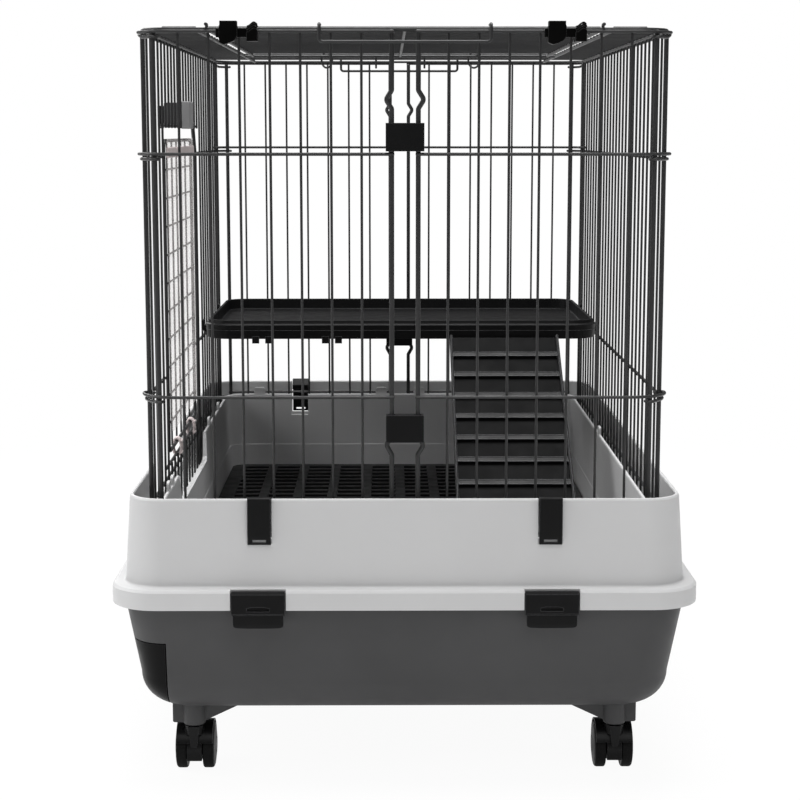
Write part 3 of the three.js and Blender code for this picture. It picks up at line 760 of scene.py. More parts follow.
def side_door():
    base = door_pivot.z
    frame_path = [
        (door_x, door_near, base),
        (door_x, door_near, door_top),
        (door_x, door_far, door_top),
        (door_x, door_far, base),
    ]
    shape = Shape().add(tube(bend(frame_path, 9, True), 3.6, 12, True))
    rows = [base + DOOR_ROW_PITCH * i for i in range(1, DOOR_ROWS + 1)]
    column_pitch = (door_far - door_near) / (DOOR_COLUMNS + 1)
    columns = [door_near + column_pitch * i for i in range(1, DOOR_COLUMNS + 1)]
    for z in rows:
        shape.add(along(door_near, door_far, door_x, z, MESH_WIRE))
    for y in columns:
        shape.add(upright(base, door_top, door_x - 1.9, y, MESH_WIRE))
        shape.add(*[bead(door_x - 0.9, y, z, "y", 1.2) for z in rows])
    for y in (door_near, door_far):
        shape.add(*[bead(door_x, y, z, "z", 2.1) for z in rows])
    return shape


def door_sheet():
    """Flexible sheet that stands a little above the door's frame."""
    low, high = corners_of("side_door_sheet")
    middle = (low.x + high.x) / 2
    outline = rectangle((low.y, high.y), (low.z, high.z + 10))
    return prism(flat_bend(outline, 6), middle - 0.45, middle + 0.45, "x")


def sheet_band():
    low, high = corners_of("side_door_sheet")
    outline = rectangle((low.x - 0.2, high.x + 0.8), (high.z - 9, high.z + 1.4))
    return prism(flat_bend(outline, 0.7), low.y - 1, high.y + 1, "y")


def hinge_knuckle(node):
    """Clip of a few plastic turns round the sill rail and the door's lower wire."""
    low, high = corners_of(node)
    middle = (low + high) / 2
    turns = 4
    steps = 18
    half_x, half_z = (high.x - low.x) / 2 - 1.4, (high.z - low.z) / 2 - 1.4
    path = []
    for i in range(turns * steps + 1):
        angle = 2 * math.pi * i / steps
        share = i / (turns * steps)
        path.append((
            middle.x + half_x * math.cos(angle),
            low.y + 1.4 + (high.y - low.y - 2.8) * share,
            middle.z + half_z * math.sin(angle),
        ))
    shape = Shape().add(tube(path, 2.6, 10))
    spine = [(high.x - 1.2, low.y, middle.z - 6), (high.x - 1.2, high.y, middle.z - 6)]
    shape.add(tube(spine, 2.2, 8), tube([(x, y, z + 12) for x, y, z in spine], 2.2, 8))
    return shape


make("side_door_wires", side_door(), wire_coat, "side_door", ["side_door"])
make("side_door_film", door_sheet(), pale_sheet, "side_door", ["side_door_sheet"])
make("side_door_film_band", sheet_band(), knuckle_plastic, "side_door", ["side_door_sheet"])
for where in ("front", "rear"):
    node = f"side_door_hinge_{where}"
    make(f"{node}_coil", hinge_knuckle(node), knuckle_plastic, "cage", [node])


# ---------------------------------------------------------------- latch of the side door


def side_latch_block():
    """Block on the wires in two shells: a plain inner one and a notched cover."""
    node = "side_latch_block"
    low, high = corners_of(node)
    split = low.x + 0.64 * (high.x - low.x)
    inner = block((split, high.x), (low.y, high.y), (low.z, high.z))
    make(f"{node}_inner", inner, grey_plastic, "cage", [node], 1.3, 3)
    outer = block((low.x, split), (low.y + 1.2, high.y - 1.2), (low.z + 1.2, high.z - 1.2))
    cover = mesh_object(f"{node}_cover", outer, tub_plastic)
    for i in range(3):
        y = low.y + 7 + i * 9
        combine(cover, block((low.x - 2, low.x + 2.2), (y, y + 2.6), (low.z - 2, low.z + 9)), "DIFFERENCE")
    soften(cover, 1.1, 2)
    finish_piece(cover, "cage", [node])


def side_latch_lever():
    node = "side_latch_lever"
    low, high = corners_of(node)
    outline = [
        (low.x, low.z + 2), (low.x + 3.6, low.z), (high.x, low.z + 8), (high.x, high.z), (low.x, high.z),
    ]
    shape = prism(flat_bend(outline, 1.2), low.y, high.y, "y")
    make(f"{node}_moulding", shape, black_plastic, node, [node], 0.8, 2)


side_latch_block()
side_latch_lever()


# ---------------------------------------------------------------- roof and its door

OPENING_X = 186.5
roof_rear = pivot_of("top_door_lift").y + 6.5
TOP_DOOR_X = 175.3
TOP_DOOR_FRONT = -368.5
top_door_rear = pivot_of("top_door_lift").y
DOOR_CROSS_WIRES = 20
HOOK_LIFT = 4.1


def roof_outline():
    reach = (SIDE_X - CORNER.x, END_Y - CORNER.y)
    return tube(corner_loop((0, 0), CORNER, reach, TOP_Z, 10), RAIL_WIRE, 12, True)


def roof_frame():
    shape = Shape().add(roof_outline())
    outer_end = SIDE_X + 2.2
    for side in (-1, 1):
        shape.add(along(-END_Y, END_Y, side * OPENING_X, TOP_Z, RAIL_WIRE))
        stub = [(side * 29, roof_rear, 676), (side * 29, roof_rear, TOP_Z + 1)]
        shape.add(tube(stub, THIN_WIRE))
    shape.add(across(-OPENING_X, OPENING_X, roof_rear, TOP_Z, RAIL_WIRE))
    for i in range(1, TOP_GAPS):
        y = top_y(i)
        bead_z = TOP_Z + RAIL_OUT / 2
        if y < roof_rear:
            end = outer_end if abs(y) < CORNER.y else CORNER.x + 12
            for side in (-1, 1):
                shape.add(across(*sorted((side * (OPENING_X + 0.5), side * end)), y, TOP_CROSS_Z, THIN_WIRE))
        else:
            shape.add(across(-outer_end, outer_end, y, TOP_CROSS_Z, THIN_WIRE))
        for side in (-1, 1):
            shape.add(bead(side * OPENING_X, y, bead_z, "x"))
            if abs(y) < CORNER.y:
                shape.add(bead(side * SIDE_X, y, bead_z, "x"))
    return shape


def top_door():
    hook_z = TOP_Z + HOOK_LIFT
    shape = Shape()
    for side in (-1, 1):
        x = side * TOP_DOOR_X
        path = [
            (x, top_door_rear + 2, TOP_Z), (x, TOP_DOOR_FRONT + 0.5, TOP_Z),
            (x, TOP_DOOR_FRONT - 3, hook_z), (x, TOP_DOOR_FRONT - 12, hook_z),
        ]
        shape.add(tube(bend(path, 2.5), RAIL_WIRE))
    shape.add(across(-TOP_DOOR_X - 2, TOP_DOOR_X + 2, top_door_rear, TOP_Z, RAIL_WIRE))
    shape.add(across(-TOP_DOOR_X, TOP_DOOR_X, TOP_DOOR_FRONT, TOP_Z, RAIL_WIRE))
    shape.add(along(TOP_DOOR_FRONT, top_door_rear, 0, TOP_Z, RAIL_WIRE))
    for i in range(1, DOOR_CROSS_WIRES + 1):
        shape.add(across(-TOP_DOOR_X - 0.4, TOP_DOOR_X + 0.4, top_y(i), TOP_CROSS_Z, THIN_WIRE))
        for x in (-TOP_DOOR_X, 0, TOP_DOOR_X):
            shape.add(bead(x, top_y(i), TOP_Z + RAIL_OUT / 2, "x"))
    for x in (-TOP_DOOR_X, 0, TOP_DOOR_X):
        for y in (TOP_DOOR_FRONT, top_door_rear):
            shape.add(bead(x, y, TOP_Z, "x", 2.0))
    return shape


def hinge_ring(node):
    """Loose ring round two wires, turned aside as it hangs, with one end lapped over the other."""
    low, high = corners_of(node)
    middle = (low + high) / 2
    radius = (high.z - low.z) / 2 - THIN_WIRE / 2
    steps = 44
    path = [
        (0.9 * t / steps, radius * math.cos(a), radius * math.sin(a))
        for t, a in ((t, math.pi / 2 + 2 * math.pi * 1.06 * t / steps) for t in range(steps + 1))
    ]
    place = Matrix.Translation(middle) @ Matrix.Rotation(math.radians(46), 4, "Z")
    return tube(path, THIN_WIRE, 10).turned(place)


def bail(node):
    """Squared wire bail with rounded corners."""
    low, high = corners_of(node)
    front = END_Y + 8
    half = high.x - RIDGE * RAIL_WIRE
    z0 = low.z + RIDGE * RAIL_WIRE
    z1 = TOP_Z + HOOK_LIFT
    path = [
        (-half, front - 18, z1), (-half, front, z1), (-half, front, z0),
        (half, front, z0), (half, front, z1), (half, front - 18, z1),
    ]
    return tube(bend(path, 3.2), RAIL_WIRE, 12).scaled(1, 1 if low.y > 0 else -1)


make("wire_roof_frame_wires", roof_frame(), wire_coat, "cage", ["wire_roof_frame"])
make("top_door_wires", top_door(), wire_coat, "top_door", ["top_door"])
for side in ("left", "right"):
    node = f"top_door_ring_{side}"
    make(f"{node}_wire", hinge_ring(node), wire_coat, "cage", [node])
make("top_door_bail_wire", bail("top_door_bail"), wire_coat, "top_door_bail", ["top_door_bail"])
make("roof_bail_back_wire", bail("roof_bail_back"), wire_coat, "cage", ["roof_bail_back"])


def top_latch_body(node):
    """Housing of a slide latch: a sloping lower edge, a deeper cap on top and a slot for the slider."""
    low, high = corners_of(node)
    x0, x1 = low.x, high.x
    face = [
        (x0, low.z + 0.6), (x0 + 4.5, low.z - 1.2), (x0 + 9, low.z + 0.2), (x1 - 2.5, low.z + 2.2),
        (x1, low.z + 6), (x1, high.z - 3.2), (x0, high.z - 3.2),
    ]
    body = mesh_object(f"{node}_moulding", prism(flat_bend(face, 1.6), low.y, low.y + 9.7, "y"), latch_black)
    cap = block((x0 + 0.6, x1 - 0.6), (low.y, low.y + 12), (high.z - 3.8, high.z))
    combine(body, cap, "UNION")
    slot = block((x0 - 1, x1 + 1), (low.y + 2.4, low.y + 7.4), (low.z + 4.6, low.z + 13.4))
    combine(body, slot, "DIFFERENCE")
    soften(body, 0.9, 3)
    return finish_piece(body, "top_door", [node])


def top_latch_slider(node):
    """Slider: a flat bar and a thumb grip with an S-shaped top and ribs that follow it."""
    low, high = corners_of(node)
    grip_x = high.x - 9.8
    shape = block((low.x, grip_x + 2), (low.y + 3.3, low.y + 7.3), (low.z + 3.6, low.z + 11.4))
    steps = 12

    def wave(share):
        return 1.7 * math.sin(math.pi * (share * 1.5 - 0.55))

    for layer, (z0, z1) in enumerate(((0.0, 9.6), (9.9, 11.6), (11.9, 13.6), (13.9, 15.4))):
        inset = 0.0 if layer % 2 == 0 else 0.5
        lower, upper = [], []
        for i in range(steps + 1):
            share = i / steps
            x = grip_x + inset + (high.x - grip_x - 2 * inset) * share
            lower.append((x, low.z + z0 + (wave(share) if layer else 0)))
            upper.append((x, low.z + z1 + wave(share)))
        shape.add(prism(lower + upper[::-1], low.y + inset, high.y - inset, "y"))
    shape.add(block((grip_x + 0.8, high.x - 0.8), (low.y + 0.8, high.y - 0.8), (low.z + 2, low.z + 13)))
    return make(f"{node}_moulding", shape, latch_black, node, [node], 0.35, 2)


for side in ("left", "right"):
    top_latch_body(f"top_latch_body_{side}")
    top_latch_slider(f"top_latch_slider_{side}")


# ---------------------------------------------------------------- base: tub and tray

LENGTH_OVER_WIDTH = 141.5
INNER_CORNER_X = 205
tub_low, tub_high = corners_of("lower_tub")
TUB_BOTTOM = 66
TUB_BOTTOM_HALF = 209.5
TUB_RIM = tub_high.z
TRAY_SEAM_X = -219
TRAY_SEAM_Z = 137
TRAY_GAP = 1.1
CASTER_STEM_RADIUS = 5.2
CATCH_Y = (395.9, 404.5)  # catches on the tub for the rim latches
CATCH_Z = (163.5, 169)
OUTSIDE = 500  # well clear of the base on every side


def box_at_back(node):
    """A node's lowest and highest corners, as if it stood at the back end."""
    low, high = corners_of(node)
    if low.y < 0:
        low.y, high.y = -high.y, -low.y
    return low, high


def finish_end_piece(piece, node):
    """Finishes a latch or clip drawn for the back end."""
    if corners_of(node)[0].y < 0:
        mirror_to_front(piece)
    return finish_piece(piece, node, [node])


def on_end(sign, places):
    """A pair of places on the back end, or its mirror image on the front end, in rising order."""
    return sorted(sign * place for place in places)


def tub_corner(half):
    return 20 + (half - TUB_BOTTOM_HALF) * 0.32


def base_rings(profile, corner):
    return [rounded_rectangle(half, half + LENGTH_OVER_WIDTH, corner(half), z) for half, z in profile]


def bottom_curve(half, bottom, radius):
    return arc((half, bottom + radius), (radius, radius), -math.pi / 2, 0, 12)


def tub_shell(thickness=3.2):
    outside = bottom_curve(TUB_BOTTOM_HALF, TUB_BOTTOM, 37) + [(258.5, 172), (259.1, TUB_RIM)]
    inside = bottom_curve(TUB_BOTTOM_HALF, TUB_BOTTOM + thickness, 37 - thickness)
    inside += [(255.1, 172), (255.9, TUB_RIM)]
    return loft(base_rings(outside + inside[::-1], tub_corner)), loft(base_rings(outside, tub_corner))


def caster_boss(sign_x, x, y):
    """Round boss over a caster, with an outer rib and a long inward gusset."""
    bottom = tub_low.z
    boss = spun([(9.4, bottom), (10.2, bottom + 0.7), (10.5, bottom + 1.8), (10.5, 76)], (x, y, 0), "z", 40)
    rib = [
        (-20.3, 76), (-20.3, bottom + 2), (-19, bottom + 1), (-6, bottom + 0.8),
        (6, bottom + 0.8), (46, 67.5), (46, 76),
    ]
    points = [(x + (u if sign_x < 0 else -u), z) for u, z in rib]
    return [boss, prism(points, y - 1.6, y + 1.6, "y")]


def lower_tub():
    """Tub with caster bosses under it, catches for the rim latches and a mouth on its left for the tray."""
    tub = mesh_object("lower_tub_moulding", shell, tub_plastic)
    hollow_profile = bottom_curve(TUB_BOTTOM_HALF, TUB_BOTTOM + 1.6, 35.4)
    hollow_profile += [(256.8, 172), (257.4, TUB_RIM + 9)]
    hollow = loft(base_rings(hollow_profile, tub_corner))
    for sign_x, sign_y, corner in CORNERS:
        stem = pivot_of(f"caster_swivel_{corner}")
        round_boss, rib = caster_boss(sign_x, stem.x, stem.y)
        boss = mesh_object("boss", round_boss)
        combine(boss, rib, "UNION")
        combine(boss, hollow, "DIFFERENCE")
        combine(tub, shape_of(boss), "UNION")
        combine(tub, spun([(6.2, 40), (6.2, 62)], (stem.x, stem.y, 0), "z", 24), "DIFFERENCE")
        low, high = corners_of(f"rim_latch_{corner}")
        middle = (low.x + high.x) / 2
        catch = block((middle - 20, middle + 20), on_end(sign_y, CATCH_Y), CATCH_Z)
        combine(tub, catch, "UNION")
    mouth = block((-OUTSIDE, TRAY_SEAM_X), (-OUTSIDE, OUTSIDE), (40, TRAY_SEAM_Z))
    combine(tub, mouth, "DIFFERENCE")
    soften(tub, 0.7, 2, 50)
    finish_piece(tub, "cage", ["lower_tub"])


def slide_tray():
    """Black front that carries on the tub's skin round both left corners, and the open pan behind it."""
    half_x, half_y, corner, centre = 224.75, 350, 20, (-17.75, 0)
    section = [(-10, 75.8), (0, 84.6), (0, 112), (-3, 112), (-3, 85.8), (-11.5, 78.8)]
    rings = []
    for point in bend([(grow, 0, z) for grow, z in section], [1, 6, 1.2, 1.2, 6, 1], False, 4):
        grow = point.x
        rings.append(rounded_rectangle(half_x + grow, half_y + grow, corner + grow, point.z, centre))
    pan = mesh_object("pan", loft(rings))
    combine(pan, tub_block, "INTERSECT")
    front = mesh_object("slide_tray_moulding", shell, tray_plastic)
    front_room = block((-OUTSIDE, TRAY_SEAM_X - TRAY_GAP), (-OUTSIDE, OUTSIDE), (40, TRAY_SEAM_Z - TRAY_GAP))
    combine(front, front_room, "INTERSECT")
    pull = [(-110, 118), (110, 118), (110, TRAY_SEAM_Z + 5), (-110, TRAY_SEAM_Z + 5)]
    combine(front, prism(flat_bend(pull, 9), -OUTSIDE, TRAY_SEAM_X - 6, "x"), "DIFFERENCE")
    combine(front, shape_of(pan), "UNION")
    soften(front, 0.7, 2, 50)
    return finish_piece(front, "tray", ["slide_tray"])


shell, tub_block = tub_shell()
lower_tub()
slide_tray()


# ---------------------------------------------------------------- ring and floor


FLANGE_HALF = cad_high.x / MM
FLANGE_CORNER = 44
RING_ABOVE = 300  # above the top of the ring
LATCH_NOTCH_Y = (405.8, 428)
CLIP_WINDOW_Y = (362, 408)


def ring_corner(half):
    if half < 232:
        return max(half - INNER_CORNER_X, 6)
    return FLANGE_CORNER - (FLANGE_HALF - half) * 0.65


RING_SECTION = [  # half width, height and rounding of each corner of the ring's section
    (FLANGE_HALF, 172.4, 0.8), (FLANGE_HALF, 188.5, 1.2), (268, 191, 1.6), (258.3, 191, 2.4),
    (253.2, 270, 1.4), (252.2, 272, 1.0), (250.2, 272, 1.0), (249.5, 270.5, 0.8),
    (252.5, 214.5, 1.5), (230, 214.5, 1.5),
    (229.5, 256.5, 0.8), (228.5, 257.5, 0.6), (226.6, 257.5, 0.6), (226, 256, 0.8), (223.1, 191.4, 0.3),
    (222.7, 190.6, 0.3), (221.3, 160.4, 0.8), (210, 160.4, 0.8), (210, 157.6, 0.8), (224.3, 157.6, 1.0),
    (224.7, 187.6, 0.8), (226.6, 189.3, 0.8), (227, 211.5, 1.5), (252.9, 211.5, 1.0), (255.1, 188, 1.0),
    (267.1, 188, 1.0), (267.1, 172.4, 0.8),
]


def ring():
    corners = [(half, 0, z) for half, z, _ in RING_SECTION]
    section = bend(corners, [radius for _, _, radius in RING_SECTION], True, 3)
    rings = base_rings([(p.x, p.z) for p in section], ring_corner)
    piece = mesh_object("base_ring_moulding", loft(rings, True), ring_plastic)
    sill = [(-186, 225), (57, 225), (62, 229), (74, RING_ABOVE), (-226, RING_ABOVE), (-190, 228)]
    combine(piece, prism(sill, -OUTSIDE, -216, "x"), "DIFFERENCE")
    for _, sign_y, corner in CORNERS:
        low, high = corners_of(f"rim_latch_{corner}")
        notch = block((low.x - 0.9, high.x + 0.9), on_end(sign_y, LATCH_NOTCH_Y), (160, 205))
        combine(piece, notch, "DIFFERENCE")
        low, high = corners_of(f"cage_clip_{corner}")
        window = block((low.x - 0.6, high.x + 0.6), on_end(sign_y, CLIP_WINDOW_Y), (low.z - 0.5, RING_ABOVE))
        combine(piece, window, "DIFFERENCE")
    tabs = [(x, wall, "y") for wall in (369, -369) for x in (-185, -24, 26, 185)]
    tabs += [(47, 227.6, "x")] + [(y, -227.6, "x") for y in (-280, -250, 118, 235)]
    for middle, wall, axis in tabs:
        outline = flat_bend(rectangle((middle - 7.2, middle + 7.2), (250, 266.4)), 3.2)
        combine(piece, prism(outline, wall - 1.3, wall + 1.3, axis), "UNION")
    soften(piece, 0.5, 2, 60)
    return finish_piece(piece, "cage", ["base_ring"], 32)


ring()


def slot_edges(low, high, margin, count, bar):
    """Edges of a row of slots between two margins, with the grate's own edges at both ends."""
    start = low + margin
    pitch = (high - margin - start - bar) / count
    edges = [low]
    for i in range(count):
        edges += [start + bar + pitch * i, start + pitch * (i + 1)]
    return edges + [high]


def floor_grate():
    """Slotted floor: a grid of cells, solid except for the slots."""
    low, high = corners_of("floor_grate")
    xs = slot_edges(low.x, high.x, 6.5, 10, 11.5)
    ys = slot_edges(low.y, high.y, 5.5, 30, 9)
    nx, ny = len(xs), len(ys)
    points = []
    for z in (low.z, high.z):
        for y in ys:
            for x in xs:
                outer = x in (xs[0], xs[-1]) and y in (ys[0], ys[-1])
                trim = 5.0 if outer else 0.0
                points.append((x - math.copysign(trim, x), y - math.copysign(trim, y), z))

    def at(i, j, layer):
        return layer * nx * ny + j * nx + i

    def is_solid(i, j):
        inside = 0 <= i < nx - 1 and 0 <= j < ny - 1
        return inside and not (i % 2 == 1 and j % 2 == 1)

    faces = []
    for j in range(ny - 1):
        for i in range(nx - 1):
            if not is_solid(i, j):
                continue
            cell = ((i, j), (i + 1, j), (i + 1, j + 1), (i, j + 1))
            faces.append([at(a, b, 1) for a, b in cell])
            faces.append([at(a, b, 0) for a, b in reversed(cell)])
            for k, (di, dj) in enumerate(((0, -1), (1, 0), (0, 1), (-1, 0))):
                if not is_solid(i + di, j + dj):
                    a, b = cell[k], cell[(k + 1) % 4]
                    faces.append([at(*a, 0), at(*b, 0), at(*b, 1), at(*a, 1)])
    return make("floor_grate_moulding", Shape(points, faces), grate_plastic, "cage", ["floor_grate"],
                0.7, 2)


floor_grate()


# ---------------------------------------------------------------- latches and clips on the base


def rim_latch(corner):
    """Latch over the flange: a sloping top, a flat front with a finger slot and a rounded lower lip."""
    node = f"rim_latch_{corner}"
    low, high = box_at_back(node)
    middle = (low.x + high.x) / 2
    half = (high.x - low.x) / 2
    foot, top, outer = low.z, high.z, high.y
    back = outer - 4.4
    section = [
        (back, foot + 6), (back, top), (outer - 2.2, top), (outer, top - 2.6), (outer, foot + 14),
        (outer - 1.1, foot + 12.6), (outer - 0.9, foot + 4), (outer - 2.2, foot), (back + 0.6, foot),
    ]
    piece = mesh_object(f"{node}_moulding", prism(section, middle - half, middle + half, "x"), black_plastic)
    side = [(half, top + 3), (half, foot + 13), (half - 1.2, foot + 12), (half - 1.4, foot + 1.6)]
    side.append((half - 4.5, foot + 0.4))
    face = [(-x, z) for x, z in side] + [(0, foot - 0.4)] + side[::-1]
    face = flat_bend(face, [0, 0, 1, 3, 10, 60, 10, 3, 1, 0, 0])
    front = prism([(middle + x, z) for x, z in face], outer - 20, outer + 6, "y")
    combine(piece, front, "INTERSECT")
    soften(piece, 0.7, 3, 30)
    slot = [
        (-10.4, foot + 16.4), (10.4, foot + 16.4), (10.4, foot + 19.2),
        (6, foot + 20.4), (-6, foot + 20.4), (-10.4, foot + 19.2),
    ]
    slot = [(middle + x, z) for x, z in flat_bend(slot, 0.8)]
    combine(piece, prism(slot, outer - 2.2, outer + 2, "y"), "DIFFERENCE")
    tooth = [
        (outer - 3, foot + 1), (outer - 11.6, foot + 2.2),
        (outer - 11.6, foot + 4.2), (outer - 3, foot + 5.4),
    ]
    combine(piece, prism(tooth, middle - 18, middle + 18, "x"), "UNION")
    return finish_end_piece(piece, node)


def cage_clip(corner):
    """Strap clip: a flat strap with a slit near its foot and a hook over the wall's top."""
    node = f"cage_clip_{corner}"
    low, high = box_at_back(node)
    inner, outer = low.y, high.y
    middle = (low.x + high.x) / 2
    top = high.z - 1.2
    section = [
        (outer - 2.9, low.z), (outer - 0.9, low.z), (outer - 0.9, low.z + 6.4), (outer, low.z + 8.4),
        (outer, top), (outer - 5.5, top), (inner, top - 7.5), (inner, top - 13),
        (inner + 2, top - 13), (inner + 2, top - 8.8), (outer - 6.2, top - 2.9), (outer - 2.9, top - 2.9),
    ]
    rounding = [0.6, 0.6, 0, 0, 2.6, 2.6, 3.0, 0.8, 0.8, 1.6, 1.6, 1.0]
    outline = flat_bend(section, rounding, 5)
    half = (high.x - low.x) / 2
    piece = mesh_object(f"{node}_moulding", prism(outline, middle - half, middle + half, "x"), black_plastic)
    slit = block((middle - 6, middle + 6), (outer - 6, outer + 2), (low.z + 2.4, low.z + 4.6))
    combine(piece, slit, "DIFFERENCE")
    soften(piece, 0.5, 2, 30)
    return finish_end_piece(piece, node)


for _, _, corner in CORNERS:
    rim_latch(corner)
    cage_clip(corner)


# ---------------------------------------------------------------- casters


def caster(corner, sign_x):
    stem = pivot_of(f"caster_swivel_{corner}")
    axle = pivot_of(f"caster_roll_{corner}")
    hub = (axle.y, axle.z)
    body = f"caster_{corner}"
    wheels = f"caster_wheels_{corner}"
    fork_top = corners_of(f"caster_fork_{corner}")[1].z

    web_outline = arc(hub, (23.4, 23.4), -0.42, math.pi + 0.42, 40)
    web = prism(web_outline, stem.x - 6.9, stem.x + 6.9, "x")
    fork = mesh_object(f"caster_fork_{corner}_moulding", web, nylon)
    over, under = [arc(hub, (reach, reach), 0.1, math.pi - 0.35, 32) for reach in (24.6, 22.9)]
    crown = prism(over + under[::-1], stem.x - 17.2, stem.x + 17.2, "x")
    combine(fork, crown, "UNION")
    rib = flat_bend([(-2.9, 27), (2.9, 27), (5.4, 47), (-5.4, 47)], [1.4, 1.4, 0, 0])
    combine(fork, prism([(stem.x + x, z) for x, z in rib], stem.y - 11, stem.y + 4, "y"), "UNION")
    neck = [
        (9.2, 38), (9.2, 46.6), (CASTER_STEM_RADIUS, 46.6), (CASTER_STEM_RADIUS, fork_top - 1), (4, fork_top),
    ]
    combine(fork, spun(neck, (stem.x, stem.y, 0), "z", 28), "UNION")
    combine(fork, spun([(3.4, -9), (3.4, 9)], axle, "x", 20), "DIFFERENCE")
    soften(fork, 0.8, 3, 40)
    finish_piece(fork, body, [f"caster_fork_{corner}"])

    tip = [(2.8, 17.6), (2.6, 18.4), (1.6, 18.9)]
    pin = [(radius, -place) for radius, place in tip[::-1]] + tip
    pin = spun(pin, axle, "x", 20)
    make(f"caster_axle_{corner}_pin", pin, steel, wheels, [f"caster_axle_{corner}"])

    for side, name in ((sign_x, "outer"), (-sign_x, "inner")):
        profile = [
            (3.3, 7.4), (10, 7.4), (11, 7.9), (18.5, 7.9), (19.5, 7.4), (20.8, 7.5), (21.7, 8.2), (22, 9.4),
            (22, 15.2), (21.6, 16.6), (20.6, 17.5), (19.2, 17.9), (18.6, 17.5), (18.2, 17.5), (17.6, 18.1),
            (13, 18.75), (8, 19.0), (7.4, 18.5), (6.8, 18.5), (6.2, 19.0), (3.3, 19.1),
        ]
        wheel = spun([(radius, side * place) for radius, place in profile], axle, "x", 48)
        node = f"caster_wheel_{corner}_{name}"
        tyre = mesh_object(f"{node}_moulding", wheel, nylon)
        tyre.data.materials.append(tread_rubber)
        for face in tyre.data.polygons:
            flat = Vector((0, face.center.y - axle.y * MM, face.center.z - axle.z * MM)).length
            if flat > 20.9 * MM:
                face.material_index = 1
        finish_piece(tyre, wheels, [node])


for sign_x, _, corner in CORNERS:
    caster(corner, sign_x)


# ---------------------------------------------------------------- platform and ramp


PLATFORM_HALF = (226.5, 140.5)
PLATFORM_CORNER = 30


def platform_ring(grow, z, centre):
    half_x, half_y = PLATFORM_HALF
    return rounded_rectangle(half_x + grow, half_y + grow, PLATFORM_CORNER + grow, z, centre)


def platform():
    """Tray with a rolled rim, hooks on its sides and two pairs of keepers for a ramp under its front."""
    high = corners_of("platform")[1]
    half_y = PLATFORM_HALF[1]
    centre = (0, high.y - half_y)
    section = [
        (-11, 370), (-8, 367.4), (-5.2, 366), (-1.6, 365.2), (0, high.z - 5.4), (-2.6, high.z - 4.2),
        (-3.8, high.z), (-6.4, high.z), (-7.6, high.z - 13), (-11, high.z - 13.6),
    ]
    rounding = [0, 1.5, 0.9, 1.2, 1.0, 0.8, 0.9, 0.9, 1.6, 0]
    rings = [platform_ring(p.x, p.z, centre)
             for p in bend([(grow, 0, z) for grow, z in section], rounding, False, 3)]
    piece = mesh_object("platform_moulding", loft(rings), black_plastic)
    front = centre[1] - half_y
    for sign_x in (-1, 1):
        for sign_y in (-1, 1):
            y = centre[1] + sign_y * (half_y - 45)
            hook = [
                (224, 370), (229.5, 370), (232.4, 373), (232.4, 384),
                (229.8, 384), (229.6, 377.6), (224, 377.6),
            ]
            points = [(sign_x * a, b) for a, b in flat_bend(hook, [0, 1.5, 1.5, 1, 1, 1, 0])]
            combine(piece, prism(points, y - 6, y + 6, "y"), "UNION")
    for x in (-171, -156, -91, -76):
        combine(piece, block((x, x + 8), (front + 0.4, front + 3), (360.5, 368.5)), "UNION")
    soften(piece, 0.4, 2, 40)
    return finish_piece(piece, "cage", ["platform"])


def raised_line(z, grow, half_height=0.6, proud=0.7):
    """Thin moulded bead round the platform's rim."""
    centre = (0, corners_of("platform")[1].y - PLATFORM_HALF[1])
    outline = [(0, -half_height), (proud, 0), (0, half_height), (-1.2, half_height), (-1.2, -half_height)]
    return loft([platform_ring(grow + out, z + up, centre) for out, up in outline], True)


platform()
make("platform_rim_bead", raised_line(375.4, -0.9), black_plastic, "cage", ["platform"])


def ramp():
    """Ramp drawn flat, then tipped about the platform's edge: cleats, side rails and a tucked-in top."""
    low, high = corners_of("ramp")
    centre, half, length, cleats = (low.x + high.x) / 2, 60.5, 357, 10
    tip = math.asin(200 / length)
    pitch = length / (cleats + 0.5)
    place = Matrix.Translation((0, 55.2, 367.8)) @ Matrix.Rotation(tip, 4, "X")
    plate = block((centre - half + 1, centre + half - 1), (-length, 0), (-4, 0))
    bands = Shape()
    for side in (-1, 1):
        edge = centre + side * half
        rail = [(edge - 1.5, -5), (edge + 1.5, -5), (edge + 1.5, 4.4), (edge, 5.2), (edge - 1.5, 4.4)]
        bands.add(prism(rail, -length, -0.5, "y"))
    for i in range(1, cleats + 1):
        y = -pitch * i
        cleat = [
            (y + 7.6, -0.5), (y + 7.0, 2.2), (y + 6.0, 2.2), (y + 5.6, 1.6),
            (y + 0.4, 1.6), (y, 3.4), (y - 1.4, 3.4), (y - 1.8, -0.5),
        ]
        bands.add(prism(cleat, centre - half + 1.6, centre + half - 1.6, "x"))
    tipped = plate.turned(place)
    for side in (-1, 1):
        x = centre + side * 42
        ear = [(52.6, 358), (57, 358), (59.6, 361), (59.6, 364.6), (52.6, 364.6)]
        tipped.add(prism(flat_bend(ear, 0.9), x - 8, x + 8, "x"))
    make("ramp_moulding", tipped, ramp_black, "ramp", ["ramp"], 0.45, 2)
    # Cleats and side rails carry painted highlight lines along their edges.
    make("ramp_cleats", bands.turned(place), cleat_highlit_black, "ramp", ["ramp"], 0.3, 2)


ramp()


# ---------------------------------------------------------------- floor, light and camera


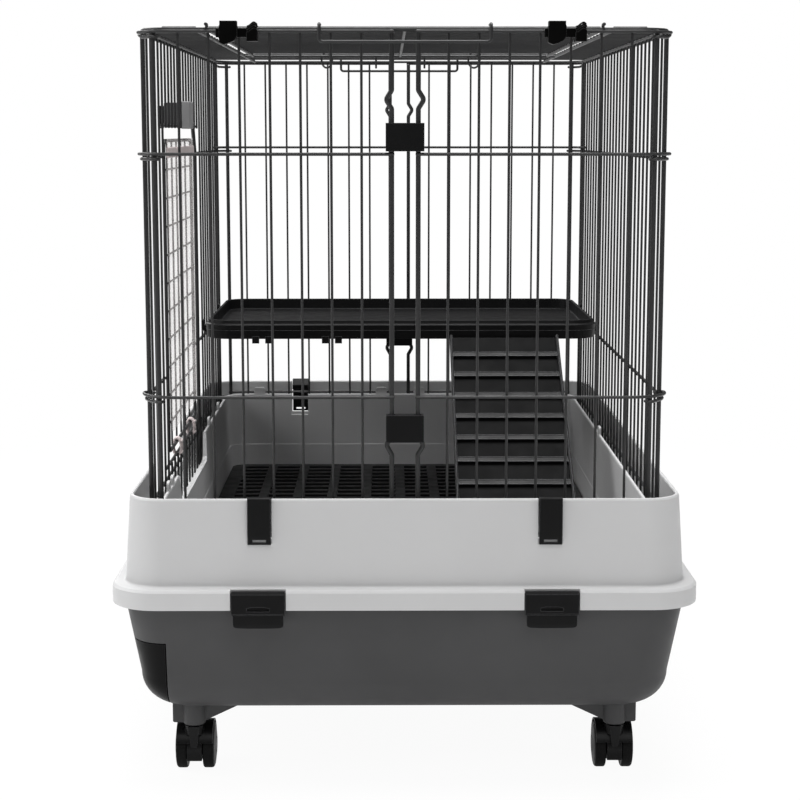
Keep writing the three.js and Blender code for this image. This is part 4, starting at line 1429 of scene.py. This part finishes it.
def stage_floor():
    """Pale floor that reads almost white to the camera, with only a faint shadow on it."""
    disc = spun([(0.01, -1), (9000, -1), (9000, 0), (0.01, 0)], (0, 0, 0), "z", 96)
    floor = mesh_object("stage_floor", disc)
    m = Nodes("stage_floor")
    m.give(Base_Color=m.mix(m.noise(0.8, 2), grey(0.93), grey(0.95)), Roughness=0.9, Specular_IOR_Level=0.1)
    distance = m.node("ShaderNodeVectorMath", operation="LENGTH")
    m.link(m.place, distance.inputs[0])
    share = m.node("ShaderNodeMix", data_type="FLOAT")
    m.link(m.node("ShaderNodeLightPath").outputs["Is Camera Ray"], share.inputs["Factor"])
    m.link(0.34, share.inputs["A"])
    m.link(m.range(distance.outputs["Value"], 0.9, 1.6, 0.95, 1.0), share.inputs["B"])
    white = m.node("ShaderNodeEmission").outputs["Emission"]
    m.show(m.mix_shaders(share.outputs["Result"], m.shader.outputs["BSDF"], white))
    floor.data.materials.append(m.material)
    floor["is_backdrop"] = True


def area_light(name, location, target, size, power):
    data = bpy.data.lights.new(name, "AREA")
    data.shape = "DISK"
    data.size = size
    data.energy = power
    light = bpy.data.objects.new(name, data)
    light.location = location
    light.rotation_euler = (Vector(target) - Vector(location)).to_track_quat("-Z", "Y").to_euler()
    bpy.context.scene.collection.objects.link(light)


def white_world(shown, lighting):
    """World that looks white to the camera and lights the object more softly."""
    world = bpy.data.worlds.new("studio")
    bpy.context.scene.world = world
    world.use_nodes = True
    tree = world.node_tree
    tree.nodes.clear()
    rays = tree.nodes.new("ShaderNodeLightPath")
    strength = tree.nodes.new("ShaderNodeMapRange")
    strength.inputs["To Min"].default_value = lighting
    strength.inputs["To Max"].default_value = shown
    background = tree.nodes.new("ShaderNodeBackground")
    background.inputs["Color"].default_value = (1, 1, 1, 1)
    output = tree.nodes.new("ShaderNodeOutputWorld")
    tree.links.new(rays.outputs["Is Camera Ray"], strength.inputs["Value"])
    tree.links.new(strength.outputs["Result"], background.inputs["Strength"])
    tree.links.new(background.outputs["Background"], output.inputs["Surface"])


def camera():
    data = bpy.data.cameras.new("camera")
    data.sensor_width = 36
    data.lens = 81
    made = bpy.data.objects.new("camera", data)
    made.location = (-0.016, -1.993, 0.600)
    made.rotation_euler = (math.radians(90 - 8.45), 0, math.radians(-0.41))
    bpy.context.scene.collection.objects.link(made)
    bpy.context.scene.camera = made


stage_floor()
white_world(1.0, 0.14)
area_light("key", (0.3, -2.6, 3.0), (0, 0, 0.3), 2.6, 37)
area_light("overhead", (0, 0.2, 3.4), (0, 0, 0.3), 2.6, 155)
area_light("left_fill", (-2.7, -0.4, 1.9), (0, 0, 0.3), 1.6, 38)
area_light("rear_fill", (-1.6, 2.8, 1.9), (0, 0, 0.4), 1.6, 30)
camera()
bpy.context.scene.view_settings.view_transform = "Standard"

low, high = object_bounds()
